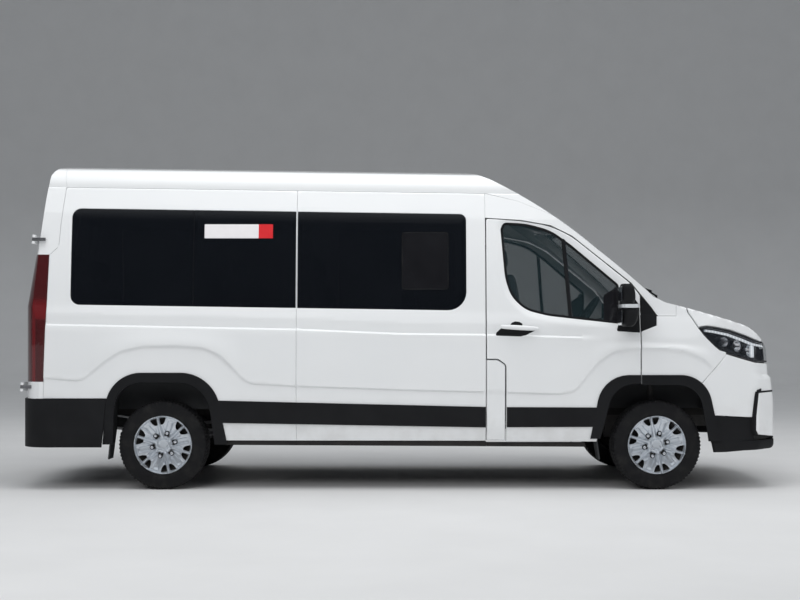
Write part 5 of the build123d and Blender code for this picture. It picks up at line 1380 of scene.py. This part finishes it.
slats = [face_bar(585 - 4 * i, 922 + 34 * i, 936 + 34 * i, -0.008, 0.030) for i in range(5)]
low_slats = [face_bar(560 - 3 * i, 452 + 48 * i, 466 + 48 * i, -0.012, 0.030) for i in range(6)]
grille_ring = mirror_line(front_to_plan([(300, 1090), (604, 1092), (604, 906), (300, 904)]))
grille_walk = walk(grille_ring, 0.03)
grille_frame = cast_panel(grille_ring, [shrink(grille_walk, 0.014)], plan_rays, 0.004, 0.034, 0.03, 0.004)
grille_back = cast_panel(shrink(grille_walk, 0.004), [], plan_rays, -0.050, 0.006, 0.04, 0.002)
intake_line = mirror_line(front_to_plan([(300, 756), (640, 752), (604, 440), (300, 432)]))
intake_back = cast_panel(intake_line, [], plan_rays, -0.036, 0.006, 0.04, 0.002)
place(gather(grille_frame, *slats), "grille_bars", "body", GLOSS_BLACK, "grille")
place(gather(grille_back, intake_back, *low_slats), "intake_mesh", "body", BLACK)
print("bumper and grille made")

# %% [markdown]
# ## Mirrors
# The mirror is two housings with a pale repeater
# band between them. Each housing is a stack of rounded rectangles, |x/a|^p + |y/b|^p = 1, whose sizes change
# with height, so a few numbers shape the whole form.

# %% Mirror housings
def loft(levels, centres, halves, power=4.0, steps=40):
    """Closed stack of rounded rectangles: at each height z, x = cx + a sgn(cos t)|cos t|^(2/p) and
    y = cy + b sgn(sin t)|sin t|^(2/p)."""
    angle = np.arange(steps) * 2 * math.pi / steps
    c, s = np.cos(angle), np.sin(angle)
    c, s = np.sign(c) * np.abs(c) ** (2 / power), np.sign(s) * np.abs(s) ** (2 / power)
    levels, centres, halves = (np.asarray(v, dtype=float) for v in (levels, centres, halves))
    points = np.stack([centres[:, 0:1] + halves[:, 0:1] * c, centres[:, 1:2] + halves[:, 1:2] * s,
                       np.broadcast_to(levels[:, None], (len(levels), steps))], axis=-1).reshape(-1, 3)
    faces = grid_faces(len(levels), steps, round_columns=True)[:, ::-1].tolist()
    faces += [list(range(steps))[::-1], list(range((len(levels) - 1) * steps, len(levels) * steps))]
    return points, faces


def housing(low, high, rear, front_low, front_high, bulge, inset=0.0, rows=14):
    """Mirror housing between two heights: its flat back is at x = rear, its front bows out, and both ends
    round off by a quarter circle over 46 mm."""
    t = np.linspace(0, 1, rows)
    z = low + (high - low) * t
    end = np.clip(np.minimum(t, 1 - t) * (high - low) / 0.046, 0, 1)
    round_off = np.sqrt(1 - (1 - end) ** 2 * 0.96)
    front = front_low + (front_high - front_low) * t + bulge * np.sin(math.pi * t)
    deep = (front - rear - 2 * inset) * (0.62 + 0.38 * round_off)
    half_y = (0.113 - inset) * (0.66 + 0.34 * round_off)
    centres = np.stack([(rear + front) / 2, np.full(rows, MIRROR_Y)], axis=1)
    return loft(z, centres, np.stack([deep / 2, half_y], axis=1), 3.0)


MIRROR_Y = -1.177
upper = housing(1.404, 1.557, 1.640, 1.742, 1.728, 0.012)
lower = housing(1.240, 1.384, 1.650, 1.742, 1.772, 0.010)
core = housing(1.360, 1.425, 1.652, 1.742, 1.742, 0.0, 0.006, 6)
band = loft([1.377, 1.379, 1.390, 1.404, 1.406], [[1.706, MIRROR_Y]] * 5,
            [[0.062, 0.108], [0.070, 0.114], [0.072, 0.115], [0.070, 0.114], [0.062, 0.108]], 5.0)
arm_path = np.linspace([1.712, -1.110, 1.290], [1.752, -1.000, 1.300], 9)
arm = tube(arm_path, np.linspace(0.030, 0.042, 9), 16, (1.5, 0.75))
print("mirror housings:", len(upper[0]) + len(lower[0]) + len(core[0]), "points")

# %% Foot, window corner and mirror glass
foot = plating(rounded([(1640, 1206), (1819, 1194), (1819, 1405), (1767, 1478), (1700, 1505), (1668, 1500),
                        (1660, 1268)], [12, 6, 60, 60, 20, 10, 10]), [], 0.003, 0.004)
window_corner = plating(rounded([(1548, 1284), (1664, 1268), (1664, 1552), (1548, 1480)], [4, 4, 4, 30]), [],
                        -0.0115, 0.004, 0.03, 0.002)
mirror_panes = gather(*[box_piece((1.6365, 1.6425), (-1.268, -1.088), heights, 0.002)
                        for heights in ((1.434, 1.534), (1.250, 1.356))])
print("mirror foot:", len(foot[0]), "points")

# %% [markdown]
# ## Stripe and handle
# A black stripe guards the door against stones and other doors. The handle is a bar over a shaded bowl that
# leaves room for fingers. The bowl and the slot above the handle are painted shade: dark patches on the skin, because
# at this size their depth can't be seen.

# %% Stripe, handle and its bowl
door_stripe_end = [(1460, 481), (1444, 390), (1519, 390), (1624, 807), (1821, 807), (1821, 874), (1535, 874),
                   (1488.6, 628)]
stripe_radii = [0, 0, 0, 0, 198, 0, 0, 240, 0, 0]
stripes = {"right": rounded([(809, 478), *door_stripe_end, (809, 631)], stripe_radii),
           "left": rounded([(661, 477), *door_stripe_end, (661, 633)], stripe_radii)}
bend = np.sin(np.linspace(0.12, math.pi - 0.12, 25)) ** 0.5
handle_path = np.stack([np.linspace(0.764, 1.044, 25), -1.024 - 0.030 * bend, np.linspace(1.240, 1.224, 25)], axis=1)
handle = tube(handle_path, 0.0135 * (0.72 + 0.28 * np.sin(np.linspace(0, math.pi, 25)) ** 0.5), 20, (0.75, 1.35))
# The bowl and slot outlines are painted shade: thin black patches lie where the recess is in shadow.
bowl_shade_line = rounded([(724, 1172), (732, 1197), (781, 1240), (1036, 1230), (1040, 1218), (956, 1176), (914, 1166)],
                    [8, 20, 16, 6, 8, 40, 40])
slot_shade_line = rounded([(835, 1250), (845, 1269), (872, 1280), (905, 1277), (930, 1262), (925, 1240)],
                    [4, 16, 16, 16, 10, 4])
bowls = gather(*[plating(line, [], 0.0006, 0.001, 0.015, 0.0005, side_width) for line in (bowl_shade_line, slot_shade_line)])
print("handle points:", len(handle[0]))

# %% Set them on both doors
for side, turn in SIDES:
    body = "door_front_" + side
    stripe = pressing(stripes[side], [], set_back(base_width, -0.009), 0.002, 0.03, 0.003,
                      set_back(base_width, -0.0012))
    place(turn(gather(upper, lower, core, arm, foot)), "mirror_shell_" + side, body, BLACK)
    place(turn(window_corner), "window_corner_" + side, body, GLOSS_BLACK)
    place(turn(stripe), "door_stripe_" + side, body, BLACK, "door_trim_" + side)
    place(turn(band), "repeater_band_" + side, body, REPEATER)
    place(turn(mirror_panes), "mirror_panes_" + side, body, MIRROR)
    place(turn(handle), "door_handle_" + side, body, WHITE)
    # Painted shade of the handle's bowl and slot, as black patches.
    place(turn(bowls), "handle_bowl_" + side, body, BLACK)
print("mirrors and handles made")

# %% [markdown]
# ## Sill, hatch window and marks on the glass
# These are thin layers on the body formula. The emergency window's frame and the blank two-colour label lie
# 1 mm proud of the glass. A dark rail closes the view under the sill: it is partly the underbody and partly painted
# shade, which hides the pale floor in the underbody's shadow.

# %% Thin pieces on the side
def patch(rear, low, front, top, radius=0):
    """Rectangle on the side, with one radius for its corners."""
    return rounded([(rear, low), (front, low), (front, top), (rear, top)], [radius] * 4)


# Under-sill rails in the dark underbody coat: partly real underbody, partly painted shade over the pale floor.
rails = [plating(rounded(line, []), [], -0.018, 0.040, 0.05, 0.006) for line in (
    [(-1330, 340), (660, 330), (660, 362), (640, 378), (-1330, 384)],
    [(662, 330), (1415, 326), (1405, 361), (662, 361)])]
place(both_sides(*rails), "under_sill_shade_rails", "body", UNDERBODY)
print("rails:", len(rails))

# %% Emergency window and blank label
hatch_line = patch(13, 1521, 370, 1964, 26)
hatch = plating(hatch_line, [shrink(hatch_line, 0.007)], -0.0012, 0.003, 0.03, 0.0008, side_width)
hatch_pane = plating(patch(21, 1529, 362, 1956, 20), [], -0.0022, 0.001, 0.06, 0.0004, side_width)
place(hatch, "hatch_frame", "body", RUBBER)
place(hatch_pane, "hatch_pane", "body", GLOSS_BLACK)
for word, rear, front, dark, light in (("white", -1492, -1079, (0.70, 0.68, 0.69), (0.80, 0.78, 0.79)),
                                       ("red", -1079, -970, (0.55, 0.015, 0.02), (0.66, 0.03, 0.035))):
    label = plating(patch(rear, 1915, front, 2023), [], -0.0016, 0.001, 0.04, 0.001, side_width)
    place(label, "blank_label_" + word, "body", label_film("label_" + word, dark, light))
print("hatch and label made")

# %% [markdown]
# ## Filler recess and arch lips
# Behind the fuel flap is a shallow box with the filler cap. The rear arch has a rolled return, which a real
# body has so that the cut edge can't be seen or felt.

# %% Filler recess
FLAP_DEEP = 0.0245           # floor of the filler's recess, inside the plain body
flap_back = plating(rounded([(651, 377), (800, 377), (800, 950), (741, 991), (651, 991)], [4, 4, 30, 24, 4]), [],
                    -FLAP_DEEP, 0.030, 0.04, 0.002)
cap_y = -float(base_width(0.73, 0.80)) + FLAP_DEEP
filler = lathe([(0.0, 0.0005), (0.0, 0.040), (0.004, 0.040), (0.0085, 0.037), (0.0085, 0.0005)],
               (0.73, cap_y, 0.80), (0, -1, 0), 32)
place(flap_back, "flap_housing", "body", WHITE)
place(filler, "filler_cap", "body", BLACK)
print("filler cap at y =", round(cap_y, 4))

# %% Arch lips
def arch_lip(points, radii):
    """Black return that lines an arch opening: its profile runs from the skin 64 mm inwards."""
    line = rounded(points, radii, 12)[1:-1]
    keep = line[line[:, 1] > 0.37]
    width = base_width(keep[:, 0], keep[:, 1])
    ahead = np.gradient(keep, axis=0)
    normal = np.stack([-ahead[:, 1], ahead[:, 0]], axis=1) / np.linalg.norm(ahead, axis=1)[:, None]
    rings = []
    for out, inward in ((0.001, -0.004), (0.001, 0.064), (0.006, 0.064), (0.006, -0.004)):
        edge = keep - normal * out
        rings.append(np.stack([edge[:, 0], -(width - inward), edge[:, 1]], axis=1))
    lined = np.stack(rings, axis=1).reshape(-1, 3)
    faces = grid_faces(len(keep), 4, round_columns=True)[:, ::-1].tolist()
    faces += [[0, 1, 2, 3], [len(lined) - 1 - i for i in range(4)]]
    return lined, faces


rear_lip = arch_lip([(-2192, 200), (-2152, 818), (-1462, 818), (-1392, 200)], [0, 200, 240, 0])
place(both_sides(rear_lip), "rear_arch_lips", "body", BLACK)
print("side details made")

# %% [markdown]
# ## Cushions
# A cushion is foam under cloth: flat faces bulge, edges are round, and a sewn channel pulls the middle
# in. The form is a superellipsoid with a crown and two sewn grooves.

# %% Cushions
def cushion(centre, half, lean=0.0, power=4.5, crown=0.012, grooves=(-0.42, 0.42), rings=18, steps=30):
    """Stuffed block: x = a S(cos v) S(cos u) and so on with S(c) = sgn(c)|c|^(2/p); the two large faces bulge
    by crown (1 - (y/b)^2), and dip 5 mm at each sewn line y = g b. lean turns it about the y axis."""
    v = np.linspace(-math.pi / 2, math.pi / 2, rings + 2)[1:-1]
    u = np.arange(steps) * 2 * math.pi / steps
    v, u = np.meshgrid(v, u, indexing="ij")
    cos_v, sin_v, cos_u, sin_u = (np.sign(c) * np.abs(c) ** (2 / power)
                                  for c in (np.cos(v), np.sin(v), np.cos(u), np.sin(u)))
    shape = np.stack([cos_v * cos_u, cos_v * sin_u, sin_v], axis=-1)
    shape = np.concatenate([shape.reshape(-1, 3), [[0, 0, -1], [0, 0, 1]]])
    thin = int(np.argmin(half))
    long = 2 if thin == 0 else 0
    bulge = crown * (1 - shape[:, 1] ** 2) * (1 - shape[:, long] ** 2)
    sewn = sum(np.exp(-((shape[:, 1] - g) / 0.045) ** 2) for g in grooves) * (np.abs(shape[:, long]) < 0.92)
    points = shape * np.asarray(half)
    points[:, thin] += np.sign(shape[:, thin]) * (bulge - 0.005 * sewn) * (np.abs(shape[:, thin]) > 0.5)
    turn = np.array([[math.cos(lean), 0, math.sin(lean)], [0, 1, 0], [-math.sin(lean), 0, math.cos(lean)]])
    points = points @ turn.T + np.asarray(centre)
    count = rings * steps
    faces = grid_faces(rings, steps, round_columns=True)[:, ::-1].tolist()
    faces += [[count, (i + 1) % steps, i][::-1] for i in range(steps)]
    faces += [[count + 1, count - steps + i, count - steps + (i + 1) % steps][::-1] for i in range(steps)]
    return points, faces


print("one cushion:", len(cushion((0, 0, 0), (0.2, 0.2, 0.05))[0]), "points")

# %% Rows of passengers' places
FLOOR_TOP = 0.691


def seat_pieces(x, y, width, depth, cushion_z, back_top):
    """Cushion, leaning back and headrest as soft pieces, and the hard shell, legs and headrest posts."""
    half = width / 2 - 0.010
    tall = back_top - cushion_z
    lean = -0.118
    soft = [cushion((x + depth / 2 + 0.012, y, cushion_z - 0.055), (depth / 2 - 0.004, half, 0.052), 0.03),
            cushion((x + 0.030, y, cushion_z + tall / 2 - 0.045), (0.050, half, tall / 2 + 0.020), lean),
            cushion((x - 0.052, y, back_top + 0.098), (0.036, 0.122, 0.078), lean, 3.2, 0.008, ())]
    shell = box_piece((x + 0.02, x + depth - 0.03), (y - half + 0.03, y + half - 0.03),
                      (cushion_z - 0.128, cushion_z - 0.100), 0.006)
    legs = [box_piece((x + 0.02, x + 0.30), across, (FLOOR_TOP, cushion_z - 0.12), 0.006)
            for across in ((y - half + 0.05, y - half + 0.09), (y + half - 0.09, y + half - 0.05))]
    posts = [tube([(x - 0.046, post, back_top - 0.03), (x - 0.050, post, back_top + 0.05)], 0.006, 8)
             for post in (y - 0.06, y + 0.06)]
    return soft, [shell, *legs, *posts]


def seat_group(name, seats, stands_for):
    """All the cushions of a group as one padded piece, and all the frames as another."""
    pieces = [seat_pieces(*seat) for seat in seats]
    cushions = mesh_object(name + "_cushions", *gather(*[part for soft, _ in pieces for part in soft]), "body", 60)
    cushions.data.materials.append(CLOTH)
    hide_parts(stands_for)
    place(gather(*[part for _, hard in pieces for part in hard]), name + "_frames", "body", DASH)
    return len(cushions.data.vertices)


cab_seats = [(0.86, y, width, 0.45, 1.13, 1.68) for y, width in ((-0.54, 0.50), (0.27, 0.40), (0.685, 0.40))]
rows = [(x, (-0.665, -0.215, 0.640)) for x in (0.06, -0.64, -1.34)] + [(-2.56, (-0.640, -0.215, 0.215, 0.640))]
row_seats = [(x, y, 0.45, 0.48, 1.12, 1.64) for x, ys in rows for y in ys]
print("cushion points:", seat_group("cab", cab_seats, "cab_seats"),
      seat_group("passenger", row_seats, "passenger_seats"))

# %% [markdown]
# ## Tail
# The rear doors carry black window surrounds, a handle, and a stop lamp above. The doors lean forward
# above the knee, so each flat piece is built upright and then sheared by the lean.

# %% Rear door details
def on_tail(piece, out=0.0):
    """Shear a piece drawn at x = 0 on to the tail: x = tail + lean (z - knee) above the knee, less out."""
    points, faces = piece
    points = np.array(points, dtype=float)
    points[:, 0] += TAIL_X + LEAN * np.maximum(points[:, 2] - KNEE, 0) - out
    return points, faces


def tail_plate(points, radii, thick, hole=None):
    """Flat plate drawn in (y, z) millimetres, facing backwards: its outer face is thick behind the tail, and a
    hole leaves a frame of that width."""
    outline = rounded(points, radii)
    flat, triangles, gap = flat_pattern(outline, [] if hole is None else [shrink(outline, hole)], 0.05, 0.003)
    short = np.clip(1 - gap / 0.003, 0, 1)
    outer = np.stack([-thick + 0.0015 * short ** 2, flat[:, 0], flat[:, 1]], axis=1)
    inner = np.stack([0 * flat[:, 0], flat[:, 0], flat[:, 1]], axis=1)
    return closed_sheet(outer, inner, triangles, [-1.0, 0.0, 0.0])


print("tail leans by", round(math.degrees(math.atan(LEAN)), 1), "degrees")

# %% Surrounds, handle, plate frame and stop lamp
surround = tail_plate([(-80, 2196), (-80, 1404), (-794, 1404), (-731, 2196)], [60, 60, 70, 80], 0.003, 0.022)
swage = tail_plate([(-90, 1330), (-90, 1322), (-800, 1322), (-800, 1330)], [], 0.004)
for side, turn in SIDES:
    body = "rear_door_" + side
    place(turn(on_tail(surround, 0.0005)), "rear_window_surround_" + side, body, GLOSS_BLACK)
    place(turn(on_tail(swage)), "rear_swage_" + side, body, WHITE)
grip = tail_plate([(-60, 1190), (-60, 1060), (-95, 1060), (-95, 1190)], [12, 12, 12, 12], 0.022)
plate_rim = tail_plate([(-250, 1022), (-250, 889), (-790, 889), (-790, 1022)], [10, 10, 10, 10], 0.006, 0.009)
place(gather(on_tail(grip), on_tail(plate_rim, 0.003)), "rear_door_handle", "rear_door_right", BLACK)
stop_lamp = tail_plate([(-170, 2330), (-170, 2304), (170, 2304), (170, 2330)], [10, 10, 10, 10], 0.012)
place(on_tail(stop_lamp), "stop_lamp", "body", RED)
print("tail details made")

# %% [markdown]
# ## The studio
# A pale floor that curves up into a backdrop keeps the horizon soft. Four large, dim area lamps give the
# long gradients that show a car body's form, and the world fills the rest.

# %% Floor
def studio_floor():
    """A floor sheet whose far edge rises in a quarter circle: y and z follow a line, an arc and a line."""
    turn = np.linspace(0, math.pi / 2, 24)
    y = np.concatenate([[-140.0], 19.0 + 5.0 * np.sin(turn), [24.0]])
    z = np.concatenate([[0.0], 5.0 - 5.0 * np.cos(turn), [40.0]])
    x = np.array([-140.0, 140.0])
    grid_x, grid_y = np.meshgrid(x, y, indexing="ij")
    points = np.stack([grid_x, grid_y, np.broadcast_to(z, grid_x.shape)], axis=-1).reshape(-1, 3)
    mesh = bpy.data.meshes.new("studio_floor")
    mesh.from_pydata(points.tolist(), [], grid_faces(2, len(y)).tolist())
    mesh.polygons.foreach_set("use_smooth", np.ones(len(mesh.polygons), dtype=bool))
    floor = bpy.data.objects.new("studio_floor", mesh)
    bpy.context.scene.collection.objects.link(floor)
    paint = Paint("floor_paper")
    pale = paint.blend(paint.noise(1.5, 3.0), (0.60, 0.60, 0.60), (0.66, 0.66, 0.66))
    mesh.materials.append(paint.set(Base_Color=pale, Roughness=0.75))


print("studio floor ready to build")

# %% Lamps
def lamp(name, spot, aim, size, power):
    """Area lamp that points from its spot to its aim and isn't seen in reflections."""
    data = bpy.data.lights.new(name, "AREA")
    data.shape = "RECTANGLE"
    data.size, data.size_y = size
    data.energy = power
    thing = bpy.data.objects.new(name, data)
    thing.location = spot
    thing.rotation_euler = (Vector(aim) - Vector(spot)).to_track_quat("-Z", "Y").to_euler()
    thing.visible_glossy = False
    bpy.context.scene.collection.objects.link(thing)


studio_floor()
lamp("top_softbox", (0.5, -2.5, 6.5), (0, 0, 1.0), (8.0, 4.0), 265)
lamp("side_softbox", (-3.5, -9.5, 5.2), (-0.5, 0, 1.2), (6.0, 3.0), 275)
lamp("front_softbox", (8.0, -4.0, 3.5), (1.5, 0, 1.0), (3.0, 3.0), 120)
lamp("far_softbox", (0.0, 6.0, 5.5), (0.0, 0, 1.0), (8.0, 3.0), 120)
print("lamps:", len(bpy.data.lights))

# %% [markdown]
# ## Sky
# Glossy paint and glass show what stands around them. The world is dark near the horizon, which gives deep
# windows, and pale above, which gives the roof and shoulders their light edge.

# %% World
world = bpy.data.worlds.new("studio_world")
world.use_nodes = True
sky = world.node_tree.nodes.new("ShaderNodeTexCoord")
split = world.node_tree.nodes.new("ShaderNodeSeparateXYZ")
ramp = world.node_tree.nodes.new("ShaderNodeValToRGB")
skyline = ((0.34, (0.022, 0.026, 0.034, 1)), (0.62, (0.80, 0.83, 0.86, 1)))
for stop, (height, colour) in zip(ramp.color_ramp.elements, skyline):
    stop.position, stop.color = height, colour
world.node_tree.links.new(sky.outputs["Generated"], split.inputs[0])
world.node_tree.links.new(split.outputs["Z"], ramp.inputs[0])
world.node_tree.links.new(ramp.outputs[0], world.node_tree.nodes["Background"].inputs[0])
world.node_tree.nodes["Background"].inputs[1].default_value = 0.9
bpy.context.scene.world = world
bpy.context.scene.view_settings.view_transform = "Standard"
print("sky:", world.name)

# %% [markdown]
# ## Camera
# A long lens from the side keeps the vehicle's lines straight. The picture is shifted rather than tilted, so
# that uprights stay upright.

# %% Camera
SENSOR, PICTURE_WIDE, FOCAL, RAISE = 36.0, 800, 1322, 35       # sensor in mm, the rest in pixels
camera_data = bpy.data.cameras.new("camera")
camera_data.sensor_width = SENSOR
camera_data.lens = SENSOR * FOCAL / PICTURE_WIDE
camera_data.shift_y = RAISE / PICTURE_WIDE
camera = bpy.data.objects.new("camera", camera_data)
camera.location = (0.0, -11.03, 1.177)
camera.rotation_euler = (math.pi / 2, 0, 0)
bpy.context.scene.collection.objects.link(camera)
bpy.context.scene.camera = camera
print("studio ready")
